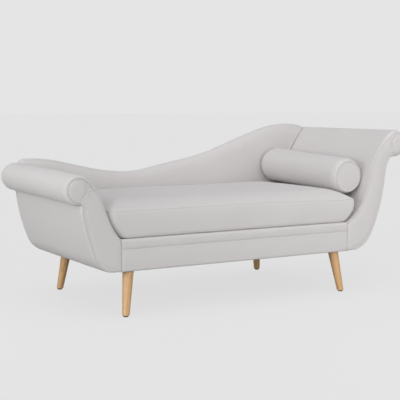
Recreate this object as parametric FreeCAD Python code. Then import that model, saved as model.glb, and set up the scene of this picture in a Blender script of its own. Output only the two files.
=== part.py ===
# Chaise longue with two scrolled arms of different heights, a wavy low back, a loose box cushion
# and a bolster. All sizes are in millimetres. X runs along the seat (the low arm at -X, the high arm
# at +X), the front faces -Y, +Z is up, and the origin is on the floor under the middle of the overall
# length and depth.
import FreeCAD
import Part

import math
import os

from FreeCAD import Vector

# Overall and base sizes
seat_length = 1100.0          # between the two arm seams on the front rail
depth = 704.0                 # front face of the arms to the outside back
leg_height = 178.0            # floor to the underside of the upholstered body
rail_height = 129.0           # underside of the body to the seat deck under the loose cushion
rail_seam_drop = 39.0         # stitched seam of the front rail, below its top
rail_cover_bulge = 2.0

# Cloth, padding and board
cover = 3.0                   # fabric with its wadding
padding = 17.0                # foam on the arms
board = 20.0                  # seat frame boards
rib_board = 18.0              # plywood of the arm ribs
back_board = 15.0             # plywood of the back frame
front_pad = 12.0              # foam behind the arm facings and the front rail cover
welt_radius = 3.0             # piping round the arm facings
seat_gap = 0.3                # clearance between loose pieces and what they rest on
fit_gap = 0.2                 # clearance of small fitted pieces

# Sides of the faceted round pieces
leg_sides = 20
small_sides = 8
bolster_sides = 28
piping_sides = 4

# Scrolled arms: u runs outward from the seat edge, heights are above the seat deck
roll_radius = 59.0
arm_foot = 45.0               # where the outside of an arm meets the underside
low_arm = dict(
    start_slope=45.0, inner=[(50.0, 79.0), (82.0, 168.0)], roll=(174.0, 205.0),
    foot_slope=14.0, outer=[(118.0, -66.0), (157.0, 62.0), (167.0, 129.0)],
    stretchers=[(60.0, -45.0), (92.0, 93.0)],
)
high_arm = dict(
    start_slope=27.0, inner=[(95.0, 101.0), (124.0, 198.0)], roll=(276.0, 340.0),
    foot_slope=12.0, outer=[(134.0, -63.0), (179.0, 44.0), (211.0, 194.0), (219.0, 238.0)],
    stretchers=[(80.0, -32.0), (123.0, 93.0), (155.0, 213.0)],
)
foot_stretcher_u = 4.0
foot_stretcher_rise = 10.0
stretcher_width = 34.0
stretcher_height = 20.0
roll_dowel_radius = 16.0

# Back: the wavy top is given in halves of the seat length from the middle and in heights above the seat deck
back_top_start = (-1.382, 273.0)
back_top_slope = 8.0
back_top = [
    (-1.207, 280.0), (-0.945, 264.0), (-0.727, 236.5), (-0.451, 211.5), (-0.170, 219.0), (0.220, 258.0),
    (0.540, 309.0), (0.925, 384.0), (1.300, 416.0), (1.490, 392.0), (1.570, 368.0),
]
back_end_inset = (75.0, 49.0)  # the top stops this far short of the outermost point of each roll
back_end_round = 22.0
back_end_rise = (50.0, 21.0)   # height of the rounding's start above the middle of each roll
back_thickness = 58.0
# How the front rolls over to the top: distances from the front face and from the top
back_profile = [(0.0, -150.0), (7.0, -55.0), (22.0, -15.0), (47.0, 0.0)]
back_rail_drop = 8.0           # top rail below the top
back_top_rail_depth = 70.0
back_post_count = 5
back_post_width = 50.0

# Seat deck
web_width = 50.0
web_thickness = 1.5
cross_web_count = 9
long_web_count = 5
dust_cloth = 2.0
rail_height_above = 12.0      # deck pad and webbing above the frame boards
cross_rail_count = 3
cross_rail_height = 85.0

# Legs
leg_top_radius = 22.5
leg_foot_radius = 14.5
leg_end_inset = 48.0          # middle of a leg's top from the end of the seat
leg_side_inset = 46.0         # and from the front or the rear face
leg_splay_x = 25.0            # how far the foot stands outside the top
leg_splay_y = 27.0
leg_round = 4.0               # rounding of the foot
leg_hole_gap = 1.0            # round the leg in the dust cover
glide_thickness = 4.0
glide_radius = 10.0
block_size = 84.0
block_height = 50.0
bolt_radius = 4.0
bolt_in_leg = 30.0
bolt_in_block = 26.0
insert_radius = 6.5
insert_length = 16.0

# Loose seat cushion, its ends given at the bottom, halfway up and at the top seam, outward from the seat edge
cushion_front_inset = 1.0
cushion_back_gap = 3.0        # between the cushion and the back
cushion_side = 106.7          # deck to the top seam
cushion_crown = 44.0
cushion_crown_run = 117.0     # how far in from the front and rear the crown reaches full height
cushion_end_runs = (96.0, 165.0)    # the same at the low end and at the high end, under the bolster
cushion_side_bulge = 4.0
cushion_low_end = (-4.0, 36.0, 47.0)
cushion_high_end = (-2.0, 40.0, 48.0)
cushion_corner = 38.0
bottom_seam_rise = 6.0

# Bolster
bolster_radius = 84.0
bolster_end_radius = 68.0
# Rounding of its ends: run from the end, and drop below the full radius
bolster_shoulder = [(4.0, 9.5), (11.0, 3.6), (22.0, 0.0)]
bolster_front_inset = 58.0   # behind the front face of the arms
bolster_back_gap = 5.0        # room for its tilt in front of the back
bolster_turn = -0.5           # degrees, rear end towards the high arm
bolster_tilt = 2.9            # degrees, front end low
bolster_piping = 3.0
bolster_drop = 60.0           # height it is let down from to find its rest
bolster_gap = 0.5             # clearance from what it rests on
bolster_rest_steps = 14       # turns of letting it down and out until it rests

# Values worked out from the sizes above
half_seat = seat_length / 2
front = -depth / 2
rear = depth / 2
body_bottom = leg_height
rail_top = leg_height + rail_height
frame_bottom = body_bottom + dust_cloth
frame_top = rail_top - rail_height_above
rib_inset = cover + padding
pad_front = front + cover                     # behind the front covers
cover_front = front + 2 * welt_radius         # behind the piping
frame_front = pad_front + front_pad + cover
frame_rear = rear - cover - back_board
back_front = rear - back_thickness
bolster_length = back_front - bolster_back_gap - front - bolster_front_inset
low_reach = half_seat + low_arm["roll"][0] + roll_radius
high_reach = half_seat + high_arm["roll"][0] + roll_radius
middle_x = (high_reach - low_reach) / 2


def direction(angle):
    return math.cos(angle), math.sin(angle)


def offset_point(point, angle, distance):
    """Point moved to the right of the travel direction."""
    return point[0] + distance * math.sin(angle), point[1] - distance * math.cos(angle)


def along(segment, share):
    """Point and direction at a share of a segment's length."""
    (u, z), angle, bend, length = segment
    s = share * length
    if abs(bend) < 1e-7:
        return (u + s * math.cos(angle), z + s * math.sin(angle)), angle
    end = angle + bend * s
    return (u + (math.sin(end) - math.sin(angle)) / bend, z - (math.cos(end) - math.cos(angle)) / bend), end


def arc_to(point, angle, target):
    """Arc that leaves a point in a direction and ends at the target."""
    du, dz = target[0] - point[0], target[1] - point[1]
    chord = math.hypot(du, dz)
    turn = (math.atan2(dz, du) - angle + math.pi) % (2 * math.pi) - math.pi
    bend = 2 * math.sin(turn) / chord
    length = chord if abs(bend) < 1e-7 else 2 * turn / bend
    return (point, angle, bend, length)


def arc_chain(point, angle, targets):
    chain = []
    for target in targets:
        chain.append(arc_to(point, angle, target))
        point, angle = along(chain[-1], 1.0)
    return chain


def backwards(chain):
    turned = []
    for segment in reversed(chain):
        point, angle = along(segment, 1.0)
        turned.append((point, angle + math.pi, -segment[2], segment[3]))
    return turned


def above_deck(points, scale=1.0):
    return [(u * scale, rail_top + height) for u, height in points]


def arm_outline(arm):
    """Tangent arcs up the inside, round the roll, through the neck and down the outside of an arm.

    Returns the run before the crease and the run after it."""
    cu, cz = above_deck([arm["roll"]])[0]
    radius = roll_radius
    inner = arc_chain((0.0, rail_top), math.radians(arm["start_slope"]), above_deck(arm["inner"]))
    (pu, pz), angle = along(inner[-1], 1.0)
    nu, nz = math.sin(angle), -math.cos(angle)
    du, dz = pu - cu, pz - cz
    lead = (radius ** 2 - du ** 2 - dz ** 2) / (2 * (radius + nu * du + nz * dz))
    qu, qz = pu + lead * nu, pz + lead * nz
    roll_on = math.atan2(cz - qz, cu - qu)
    inner.append(((pu, pz), angle, -1 / lead, lead * (angle - roll_on + math.pi / 2)))

    outer = arc_chain((arm_foot, body_bottom), math.radians(arm["foot_slope"]), above_deck(arm["outer"]))
    (ou, oz), rise = along(outer[-1], 1.0)
    nu, nz = math.sin(rise), -math.cos(rise)
    du, dz = ou - cu, oz - cz
    neck = (du ** 2 + dz ** 2 - radius ** 2) / (2 * (radius - nu * du - nz * dz))
    roll_off = math.atan2(oz + neck * nz - cz, ou + neck * nu - cu)
    point = (cu + radius * math.cos(roll_on), cz + radius * math.sin(roll_on))
    turn = (roll_on - roll_off) % (2 * math.pi)
    inner.append((point, roll_on - math.pi / 2, -1 / radius, radius * turn))
    point, angle = along(inner[-1], 1.0)
    turn = (rise + math.pi - angle) % (2 * math.pi)
    inner.append((point, angle, 1 / neck, neck * turn / 2))
    point, angle = along(inner[-1], 1.0)
    return inner, [(point, angle, 1 / neck, neck * turn / 2)] + backwards(outer)


def arm_plane(side):
    """Places an arm's outline points in the upright plane at y."""
    return lambda point, y: Vector(side * (half_seat + point[0]), y, point[1])


def upright(point, y):
    return Vector(point[0], y, point[1])


def chain_edges(chain, place, distance, y):
    edges = []
    for segment in chain:
        points = []
        for share in (0.0, 0.5, 1.0):
            point, angle = along(segment, share)
            points.append(place(offset_point(point, angle, distance), y))
        if abs(segment[2]) < 1e-7:
            edges.append(Part.LineSegment(points[0], points[2]).toShape())
        else:
            edges.append(Part.Arc(*points).toShape())
    return edges


def chain_ends(chain, place, distance, y):
    start = place(offset_point(*along(chain[0], 0.0), distance), y)
    end = place(offset_point(*along(chain[-1], 1.0), distance), y)
    return start, end


def line(a, b):
    return Part.LineSegment(a, b).toShape()


def turned_solid(rings, across, up, sides):
    """Solid of flat facets through rings of (centre, radius); across and up span the plane of every ring."""
    steps = [direction(2 * math.pi * i / sides) for i in range(sides)]
    corners = []
    for centre, radius in rings:
        corners.append([centre + across * (radius * cos) + up * (radius * sin) for cos, sin in steps])
    faces = [Part.Face(Part.makePolygon(ring + ring[:1])) for ring in (corners[0], corners[-1])]
    for low, high in zip(corners, corners[1:]):
        for i in range(sides):
            j = (i + 1) % sides
            faces.append(Part.Face(Part.makePolygon([low[i], low[j], high[j], high[i], low[i]])))
    solid = Part.makeSolid(Part.makeShell(faces))
    if solid.Volume < 0:
        solid.reverse()
    return solid


def rod(start, run, length, radius, sides):
    """Straight faceted rod from a point along a direction."""
    across = run.cross(Vector(0, 0, 1)).normalize()
    return turned_solid([(start, radius), (start + run * length, radius)], across, run.cross(across), sides)


def extrude_y(edges, length):
    wire = Part.Wire(Part.__sortEdges__(edges))
    return Part.Face(wire).extrude(Vector(0, length, 0))


def layer(chain, place, near, far, y0, y1):
    """Sheet between two depths under an outline, from y0 to y1."""
    start_near, end_near = chain_ends(chain, place, near, y0)
    start_far, end_far = chain_ends(chain, place, far, y0)
    edges = chain_edges(chain, place, near, y0) + chain_edges(chain, place, far, y0)
    return extrude_y(edges + [line(start_near, start_far), line(end_near, end_far)], y1 - y0)


def arm_plate(arm, side, inset, y0, y1, bottom, edge_gap=0.0):
    """Plate with the arm's whole outline, inset from the finished surface."""
    inside, outside = arm["runs"]
    chain = inside + outside
    start, end = chain_ends(chain, arm_plane(side), inset, y0)
    foot = Vector(side * (half_seat + edge_gap), y0, bottom)
    corner = Vector(foot.x, y0, start.z)
    heel = Vector(end.x, y0, bottom)
    edges = chain_edges(chain, arm_plane(side), inset, y0)
    edges.append(line(foot, corner))
    if abs(corner.x - start.x) > 1e-6:
        edges.append(line(corner, start))
    edges.append(line(foot, heel))
    if abs(end.z - bottom) > 1e-6:
        edges.append(line(end, heel))
    return extrude_y(edges, y1 - y0)


def box(x0, x1, y0, y1, z0, z1):
    return Part.makeBox(x1 - x0, y1 - y0, z1 - z0, Vector(x0, y0, z0))


def piping_outline(place):
    """Section of the piping, just inside an arm's outline."""
    radius = welt_radius - fit_gap
    corners = []
    for i in range(piping_sides):
        angle = 2 * math.pi * i / piping_sides
        y, n = front + welt_radius + radius * math.cos(angle), radius * math.sin(angle) - welt_radius
        corners.append(place((y, n), 0))
    return [line(a, b) for a, b in zip(corners, corners[1:] + corners[:1])]


def largest(shape):
    return max(shape.Solids, key=lambda solid: solid.Volume)


def spread(count, low, high):
    """Evenly spaced positions with half a space at each end."""
    step = (high - low) / count
    return [low + step * (i + 0.5) for i in range(count)]


def swept(path, outline):
    """Solid that a section makes along a path of arcs; outline(place) gives the section's edges."""
    pieces = []
    for (x, z), angle, bend, length in path:
        cos, sin = direction(angle)
        section = Part.Face(Part.Wire(Part.__sortEdges__(
            outline(lambda point, _: Vector(x - point[1] * sin, point[0], z + point[1] * cos)))))
        if abs(bend) < 1e-7:
            pieces.append(section.extrude(Vector(cos * length, 0, sin * length)))
            continue
        centre = Vector(x - sin / bend, 0, z + cos / bend)
        axis = Vector(0, -math.copysign(1.0, bend), 0)
        pieces.append(section.revolve(centre, axis, math.degrees(abs(bend) * length)))
    return pieces[0].fuse(pieces[1:]).removeSplitter()


def build_arm(name, arm, side):
    """Ribs, stretchers, padding, covers, facing and piping of one arm."""
    arm["runs"] = arm_outline(arm)
    inside, outside = arm["runs"]
    place = arm_plane(side)
    layer_rear = rear - cover
    rib_rear = layer_rear - rib_board
    ribs = [arm_plate(arm, side, rib_inset, y, y + rib_board, frame_bottom)
            for y in (frame_front, -rib_board / 2, rib_rear)]
    bars = [(foot_stretcher_u, frame_bottom + foot_stretcher_rise)] + above_deck(arm["stretchers"])
    roll_centre = above_deck([arm["roll"]])[0]
    stretchers = []
    for y0, y1 in ((frame_front + rib_board, -rib_board / 2), (rib_board / 2, rib_rear)):
        inside_ribs = arm_plate(arm, side, rib_inset, y0, y1, frame_bottom)
        for u, z in bars:
            x0, x1 = sorted((place((u, z), y0).x, place((u + stretcher_width, z), y0).x))
            bar = box(x0, x1, y0, y1, z, z + stretcher_height)
            stretchers.append(largest(bar.common(inside_ribs)))
        dowel_start = place(roll_centre, y0)
        stretchers.append(Part.makeCylinder(roll_dowel_radius, y1 - y0, dowel_start, Vector(0, 1, 0)))

    pad = arm_plate(arm, side, cover, cover_front, frame_front, body_bottom + cover, seat_gap)
    facing = arm_plate(arm, side, 2 * welt_radius, front, cover_front, body_bottom, seat_gap)
    piping = swept(inside + outside, piping_outline)
    piping.translate(Vector(half_seat, 0, 0))
    if side < 0:
        piping = piping.mirror(Vector(0, 0, 0), Vector(1, 0, 0))
    return {
        name + "_ribs": ribs,
        name + "_stretchers": stretchers,
        name + "_inside_foam": [layer(inside, place, cover, rib_inset, frame_front, layer_rear)],
        name + "_inside_cover": [layer(inside, place, 0.0, cover, cover_front, layer_rear)],
        name + "_outside_pad": [layer(outside, place, cover, rib_inset, frame_front, layer_rear)],
        name + "_outside_cover": [layer(outside, place, 0.0, cover, cover_front, layer_rear)],
        name + "_front_pad": [pad],
        name + "_front_cover": [facing],
        name + "_front_piping": [piping],
    }


def under_chain(chain, drop, y0, y1, bottom):
    """Prism below an outline that runs along the seat."""
    start, end = chain_ends(chain, upright, drop, y0)
    low_start, low_end = Vector(start.x, y0, bottom), Vector(end.x, y0, bottom)
    edges = chain_edges(chain, upright, drop, y0)
    return extrude_y(edges + [line(start, low_start), line(low_start, low_end), line(low_end, end)], y1 - y0)


def back_trim(inset):
    """Prism that ends the back above the rolls of the arms, with rounded corners."""
    edges, tops = [], []
    ends = zip((low_arm, high_arm), (low_reach, high_reach), back_end_inset, back_end_rise, (-1, 1))
    for arm, reach, end_inset, rise, side in ends:
        x, z = side * (reach - end_inset - inset), rail_top + arm["roll"][1] + rise
        radius, turn = back_end_round, math.sqrt(0.5) * back_end_round
        low, side_point = Vector(x, front, 0), Vector(x, front, z)
        middle = Vector(x - side * (radius - turn), front, z + turn)
        crest = Vector(x - side * radius, front, z + radius)
        high = Vector(crest.x, front, rail_top + depth)
        edges += [line(low, side_point), Part.Arc(side_point, middle, crest).toShape(), line(crest, high)]
        tops.append((low, high))
    edges += [line(tops[0][0], tops[1][0]), line(tops[0][1], tops[1][1])]
    return extrude_y(edges, depth)


def build_back(arms):
    """Back frame, foam, inside cover and the outside back cover over the whole rear."""
    start = above_deck([back_top_start], half_seat)[0]
    path = arc_chain(start, math.radians(back_top_slope), above_deck(back_top, half_seat))
    roll_over = -back_profile[0][1]
    near = [(back_front + y, n) for y, n in back_profile]
    far = []
    for i, (y, n) in enumerate(near):
        (y0, n0), (y1, n1) = near[max(i - 1, 0)], near[min(i + 1, len(near) - 1)]
        far.append(offset_point((y, n), math.atan2(n1 - n0, y1 - y0), cover))
    layer_rear = rear - cover

    def outline(corners):
        sides = list(zip(corners, corners[1:] + corners[:1]))
        return lambda place: [line(place(a, 0), place(b, 0)) for a, b in sides]

    cover_outline = outline(near + [(layer_rear, 0.0), (layer_rear, -cover)] + far[::-1])
    foam_outline = outline(far + [(layer_rear, -cover), (layer_rear, -back_rail_drop),
                                  (frame_rear, -back_rail_drop), (frame_rear, -roll_over)])
    foam_front = back_front + cover
    low_cover = under_chain(path, roll_over, back_front, foam_front, rail_top)
    low_foam = under_chain(path, roll_over, foam_front, frame_rear, rail_top)
    top_rail = layer(path, upright, back_rail_drop, back_top_rail_depth, frame_rear, layer_rear)
    arm_solids = [arm_plate(arm, side, 0.0, front, rear, body_bottom) for arm, side in arms]
    inner_trim, outer_trim = back_trim(cover), back_trim(0.0)

    def trimmed(pieces, trim):
        """Pieces that are cut to the arms before they are joined."""
        cut = [piece.common(trim).cut(arm_solids) for piece in pieces]
        return largest(cut[0].fuse(cut[1:]).removeSplitter() if len(cut) > 1 else cut[0])

    inside_cover = trimmed([swept(path, cover_outline), low_cover], outer_trim)
    foam = trimmed([swept(path, foam_outline), low_foam], inner_trim)
    top_rail = trimmed([top_rail], inner_trim)

    under_rail = under_chain(path, back_top_rail_depth, frame_rear, layer_rear, frame_bottom)
    posts = []
    for x in spread(back_post_count, -half_seat, half_seat):
        x0, x1 = x - back_post_width / 2, x + back_post_width / 2
        post = box(x0, x1, frame_rear, layer_rear, frame_bottom, rail_top + depth)
        posts.append(post.common(under_rail))

    sheet = trimmed([under_chain(path, 0.0, layer_rear, rear, rail_top)], outer_trim).fuse(
        [box(-half_seat, half_seat, layer_rear, rear, body_bottom, rail_top)]
        + [arm_plate(arm, side, 0.0, layer_rear, rear, body_bottom) for arm, side in arms])
    return {
        "back_posts": posts,
        "back_top_rail": [top_rail],
        "back_foam": [foam],
        "back_inside_cover": [inside_cover],
        "outside_back_cover": sheet.removeSplitter().Solids,
    }


def build_base():
    """Seat frame box, webbing, deck and dust cover."""
    rail_rear = frame_rear
    inner_front, inner_rear = frame_front + board, rail_rear - board
    inner_end = half_seat - board
    cross_gap = (2 * inner_end) / (cross_rail_count + 1)
    end_rails = [
        box(x, x + board, inner_front, inner_rear, frame_bottom, frame_top)
        for x in (-half_seat, inner_end)
    ]
    cross = []
    for i in range(cross_rail_count):
        x = -inner_end + cross_gap * (i + 1)
        z1 = frame_bottom + cross_rail_height
        cross.append(box(x - board / 2, x + board / 2, inner_front, inner_rear, frame_bottom, z1))
    web_z = frame_top
    short_webs = [
        box(x - web_width / 2, x + web_width / 2, frame_front, rail_rear, web_z, web_z + web_thickness)
        for x in spread(cross_web_count, -half_seat, half_seat)
    ]
    long_z = web_z + web_thickness
    length_webs = [
        box(-half_seat, half_seat, y - web_width / 2, y + web_width / 2, long_z, long_z + web_thickness)
        for y in spread(long_web_count, frame_front, rail_rear)
    ]
    deck = box(-half_seat, half_seat, pad_front + cover, back_front, long_z + web_thickness, rail_top)
    return {
        "seat_front_rail": [box(-half_seat, half_seat, frame_front, inner_front, frame_bottom, frame_top)],
        "seat_rear_rail": [box(-half_seat, half_seat, inner_rear, rail_rear, frame_bottom, frame_top)],
        "seat_end_rails": end_rails,
        "seat_cross_rails": cross,
        "seat_cross_webbing": short_webs,
        "seat_long_webbing": length_webs,
        "seat_deck_pad": [deck],
    }


def build_front_rail():
    """Padding and cover of the front rail, with its stitched seam as a groove between two soft bands."""
    z_low, z_seam, z_top = body_bottom, rail_top - rail_seam_drop, rail_top
    x0 = -half_seat + seat_gap
    face_back = pad_front + cover
    edge = front + rail_cover_bulge

    def at(y, z):
        return Vector(x0, y, z)

    edges = [
        Part.Arc(at(edge, z_low), at(front, (z_low + z_seam) / 2), at(edge, z_seam)).toShape(),
        Part.Arc(at(edge, z_seam), at(front, (z_seam + z_top) / 2), at(edge, z_top)).toShape(),
        line(at(edge, z_top), at(face_back, z_top)),
        line(at(face_back, z_top), at(face_back, z_low)),
        line(at(face_back, z_low), at(edge, z_low)),
    ]
    face = Part.Face(Part.Wire(edges))
    rail_cover = face.extrude(Vector(seat_length - 2 * seat_gap, 0, 0))
    rail_pad = box(-half_seat, half_seat, face_back, frame_front, frame_bottom, frame_top + 2 * web_thickness)
    return {"front_rail_cover": [rail_cover], "front_rail_padding": [rail_pad]}


def leg_axis(side_x, side_y):
    top_x, top_y = half_seat - leg_end_inset, depth / 2 - leg_side_inset
    top = Vector(side_x * top_x, side_y * top_y, frame_bottom)
    foot = Vector(side_x * (top_x + leg_splay_x), side_y * (top_y + leg_splay_y), 0)
    return top, foot


def build_legs():
    """Four splayed tapered legs with glides, hanger bolts, threaded inserts and corner blocks."""
    parts = {"leg_glides": [], "leg_hanger_bolts": [], "leg_insert_nuts": [], "leg_corner_blocks": []}
    names = {
        (-1, -1): "leg_low_front",
        (-1, 1): "leg_low_rear",
        (1, -1): "leg_high_front",
        (1, 1): "leg_high_rear",
    }
    for (sx, sy), name in names.items():
        top, foot = leg_axis(sx, sy)
        run = foot - top
        rings = []
        for z, radius in ((frame_bottom, leg_top_radius), (glide_thickness + leg_round, leg_foot_radius),
                          (glide_thickness + leg_round / 3, leg_foot_radius - leg_round / 3),
                          (glide_thickness, leg_foot_radius - leg_round)):
            rings.append((top + run * ((frame_bottom - z) / frame_bottom), radius))
        level = (Vector(1, 0, 0), Vector(0, 1, 0))
        glide = [(Vector(foot.x, foot.y, z), glide_radius) for z in (0, glide_thickness)]
        run.normalize()
        bolt_start, back_run = top + run * bolt_in_leg, run * -1
        bolt = rod(bolt_start, back_run, bolt_in_leg + bolt_in_block, bolt_radius, small_sides)
        hole = rod(bolt_start + run * fit_gap, back_run, rail_top, bolt_radius + fit_gap, small_sides)
        insert = rod(top + run * board, back_run, board + insert_length, insert_radius, small_sides)
        insert = insert.cut(box(-seat_length, seat_length, -depth, depth, 0, frame_bottom))
        x0, x1 = sorted((sx * (half_seat - board), sx * (half_seat - board - block_size)))
        y_edge = frame_front + board if sy < 0 else frame_rear - board
        y0, y1 = sorted((y_edge, y_edge - sy * block_size))
        block = box(x0, x1, y0, y1, frame_bottom, frame_bottom + block_height)
        parts[name] = [turned_solid(rings, *level, leg_sides).cut(hole)]
        parts["leg_glides"].append(turned_solid(glide, *level, 2 * small_sides))
        parts["leg_hanger_bolts"].append(bolt)
        parts["leg_insert_nuts"].append(insert.cut(hole))
        parts["leg_corner_blocks"].append(block.cut(insert).cut(hole))
    return parts


def build_dust_cover():
    """Thin cloth under the body with a hole for each leg."""
    reach = half_seat + arm_foot - cover
    cloth = box(-reach, reach, cover_front, rear - cover, body_bottom, frame_bottom)
    for sx in (-1, 1):
        for sy in (-1, 1):
            top, foot = leg_axis(sx, sy)
            run = foot - top
            run.normalize()
            hole_radius = leg_top_radius + leg_hole_gap
            cloth = cloth.cut(rod(top - run * board, run, 2 * board, hole_radius, leg_sides))
    return {"dust_cover": [cloth]}


def crowned_edges(place, low_side, high_side, runs, z_low, seam, crown):
    """Outline with bowed sides and a top that climbs from both seams to a flat crown."""
    (a0, a1, a2), (b0, b1, b2) = low_side, high_side
    z_mid = (z_low + seam) / 2
    low, high = [
        arc_chain((edge, seam), 2 * math.atan2(crown - seam, run), [(edge + run, crown)])
        for edge, run in zip((a2, -b2), runs)
    ]

    def mirrored(point, y):
        return place((-point[0], point[1]), y)

    return chain_edges(low, place, 0.0, 0.0) + chain_edges(high, mirrored, 0.0, 0.0) + [
        Part.Arc(place((a0, z_low), 0), place((a1, z_mid), 0), place((a2, seam), 0)).toShape(),
        Part.Arc(place((b0, z_low), 0), place((b1, z_mid), 0), place((b2, seam), 0)).toShape(),
        line(place((a2 + runs[0], crown), 0), place((b2 - runs[1], crown), 0)),
        line(place((a0, z_low), 0), place((b0, z_low), 0)),
    ]


def cushion_solid(shrink):
    """Crowned box: its section along the seat, its section across it and its plan, all in one."""
    z_low = rail_top + seat_gap + shrink
    seam = rail_top + cushion_side - shrink
    crown = seam + cushion_crown
    f, r = front + cushion_front_inset + shrink, back_front - cushion_back_gap - shrink
    bow = cushion_side_bulge
    low = tuple(shrink - half_seat - u for u in cushion_low_end)
    high = tuple(half_seat + u - shrink for u in cushion_high_end)
    margin = half_seat + depth
    across = crowned_edges(lambda p, _: Vector(-margin, p[0], p[1]), (f + bow, f, f + bow),
                           (r - bow, r, r - bow), (cushion_crown_run, cushion_crown_run),
                           z_low, seam, crown)
    lengthwise = crowned_edges(lambda p, _: Vector(p[0], front, p[1]), low, high,
                               cushion_end_runs, z_low, seam, crown)
    body = Part.Face(Part.Wire(Part.__sortEdges__(across))).extrude(Vector(2 * margin, 0, 0))
    body = body.common(extrude_y(lengthwise, depth))
    plan = box(low[2] - bow, high[2] + bow, f, r, 0, crown)
    corners = [e for e in plan.Edges if abs(e.Vertexes[0].Z - e.Vertexes[1].Z) > 1]
    return body.common(plan.makeFillet(cushion_corner - shrink, corners))


def build_cushion():
    """Foam core with a sewn cover of top panel, boxing and bottom panel."""
    outer, core = cushion_solid(0.0), cushion_solid(cover)
    shell = outer.cut(core)
    low_seam = rail_top + seat_gap + bottom_seam_rise
    high_seam = rail_top + cushion_side
    reach = half_seat + depth
    top = shell.common(box(-reach, reach, front, rear, high_seam, high_seam + depth))
    boxing = shell.common(box(-reach, reach, front, rear, low_seam, high_seam))
    bottom = shell.common(box(-reach, reach, front, rear, 0, low_seam))
    return {
        "cushion_foam": [core],
        "cushion_top_cover": top.Solids,
        "cushion_boxing": boxing.Solids,
        "cushion_bottom_cover": bottom.Solids,
    }


def lathe(profile):
    """Faceted solid round the bolster's own axis, through (distance from its front end, radius)."""
    rings = [(Vector(0, y, 0), radius) for y, radius in profile]
    return turned_solid(rings, Vector(0, 0, 1), Vector(1, 0, 0), bolster_sides)


def bolster_body(near):
    """Solid with the same profile at both ends."""
    return lathe(near + [(bolster_length - y, radius) for y, radius in reversed(near)])


def bolster_ring(middle, half):
    """Square piping ring in the seam of an end."""
    band = [(middle - half, bolster_end_radius + half), (middle + half, bolster_end_radius + half)]
    hole = [(middle - 2 * half, bolster_end_radius - half), (middle + 2 * half, bolster_end_radius - half)]
    return lathe(band).cut(lathe(hole))


def turned(shape):
    """The bolster's tilt and turn, at a place above its rest."""
    shape.rotate(Vector(0, 0, 0), Vector(1, 0, 0), bolster_tilt)
    shape.rotate(Vector(0, 0, 0), Vector(0, 0, 1), bolster_turn)
    height = rail_top + cushion_side + cushion_crown + bolster_radius + bolster_drop
    shape.translate(Vector(half_seat, front + bolster_front_inset, height))
    return shape


def rest_offset(body, cushion, arm_cover):
    """Move that lets a body down on the cushion and out against the arm, by the free distance each time."""
    start = body.CenterOfMass
    for _ in range(bolster_rest_steps):
        body.translate(Vector(0, 0, bolster_gap - body.distToShape(cushion)[0]))
        body.translate(Vector(body.distToShape(arm_cover)[0] - bolster_gap, 0, 0))
    return body.CenterOfMass - start


def build_bolster(cushion, arm_cover):
    """Filling, sleeve, two end caps and their piping, resting on the cushion and the high arm."""
    shoulder = [(y, bolster_radius - drop) for y, drop in bolster_shoulder]
    whole = bolster_body([(0.0, bolster_end_radius)] + shoulder)
    ring_half, groove_half = bolster_piping - fit_gap, bolster_piping + fit_gap
    cap_radius = bolster_end_radius - groove_half
    groove_end = bolster_piping + groove_half
    filled = [(max(y, groove_end), radius - cover) for y, radius in shoulder]
    filling = bolster_body([(cover, cap_radius), (groove_end, cap_radius)] + filled)
    sleeve = whole.cut(filling).cut(lathe([(0, cap_radius), (bolster_length, cap_radius)]))
    caps, rings = [], []
    for y, ring_y in ((0.0, bolster_piping), (bolster_length - cover, bolster_length - bolster_piping)):
        caps.append(lathe([(y, cap_radius), (y + cover, cap_radius)]))
        rings.append(bolster_ring(ring_y, ring_half))
        sleeve = sleeve.cut(bolster_ring(ring_y, groove_half))
    pieces = {
        "bolster_filling": [filling],
        "bolster_sleeve": [largest(sleeve)],
        "bolster_end_caps": caps,
        "bolster_piping": rings,
    }
    move = rest_offset(turned(whole), cushion, arm_cover)
    for solids in pieces.values():
        for solid in solids:
            turned(solid).translate(move)
    return pieces


def main():
    os.makedirs("parts", exist_ok=True)
    arms = [(low_arm, -1), (high_arm, 1)]
    nodes = {}
    nodes.update(build_arm("low_arm", low_arm, -1))
    nodes.update(build_arm("high_arm", high_arm, 1))
    nodes.update(build_base())
    nodes.update(build_front_rail())
    nodes.update(build_legs())
    nodes.update(build_dust_cover())
    nodes.update(build_back(arms))
    nodes.update(build_cushion())
    nodes.update(build_bolster(nodes["cushion_top_cover"][0], nodes["high_arm_inside_cover"][0]))
    for name, solids in nodes.items():
        shape = solids[0] if len(solids) == 1 else Part.makeCompound(solids)
        shape.translate(Vector(-middle_x, 0, 0))
        shape.exportStep("parts/" + name + ".step")
        print(name, len(shape.Solids), "solids", round(shape.Volume / 1000.0, 1), "cm3", shape.isValid())


main()
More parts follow.
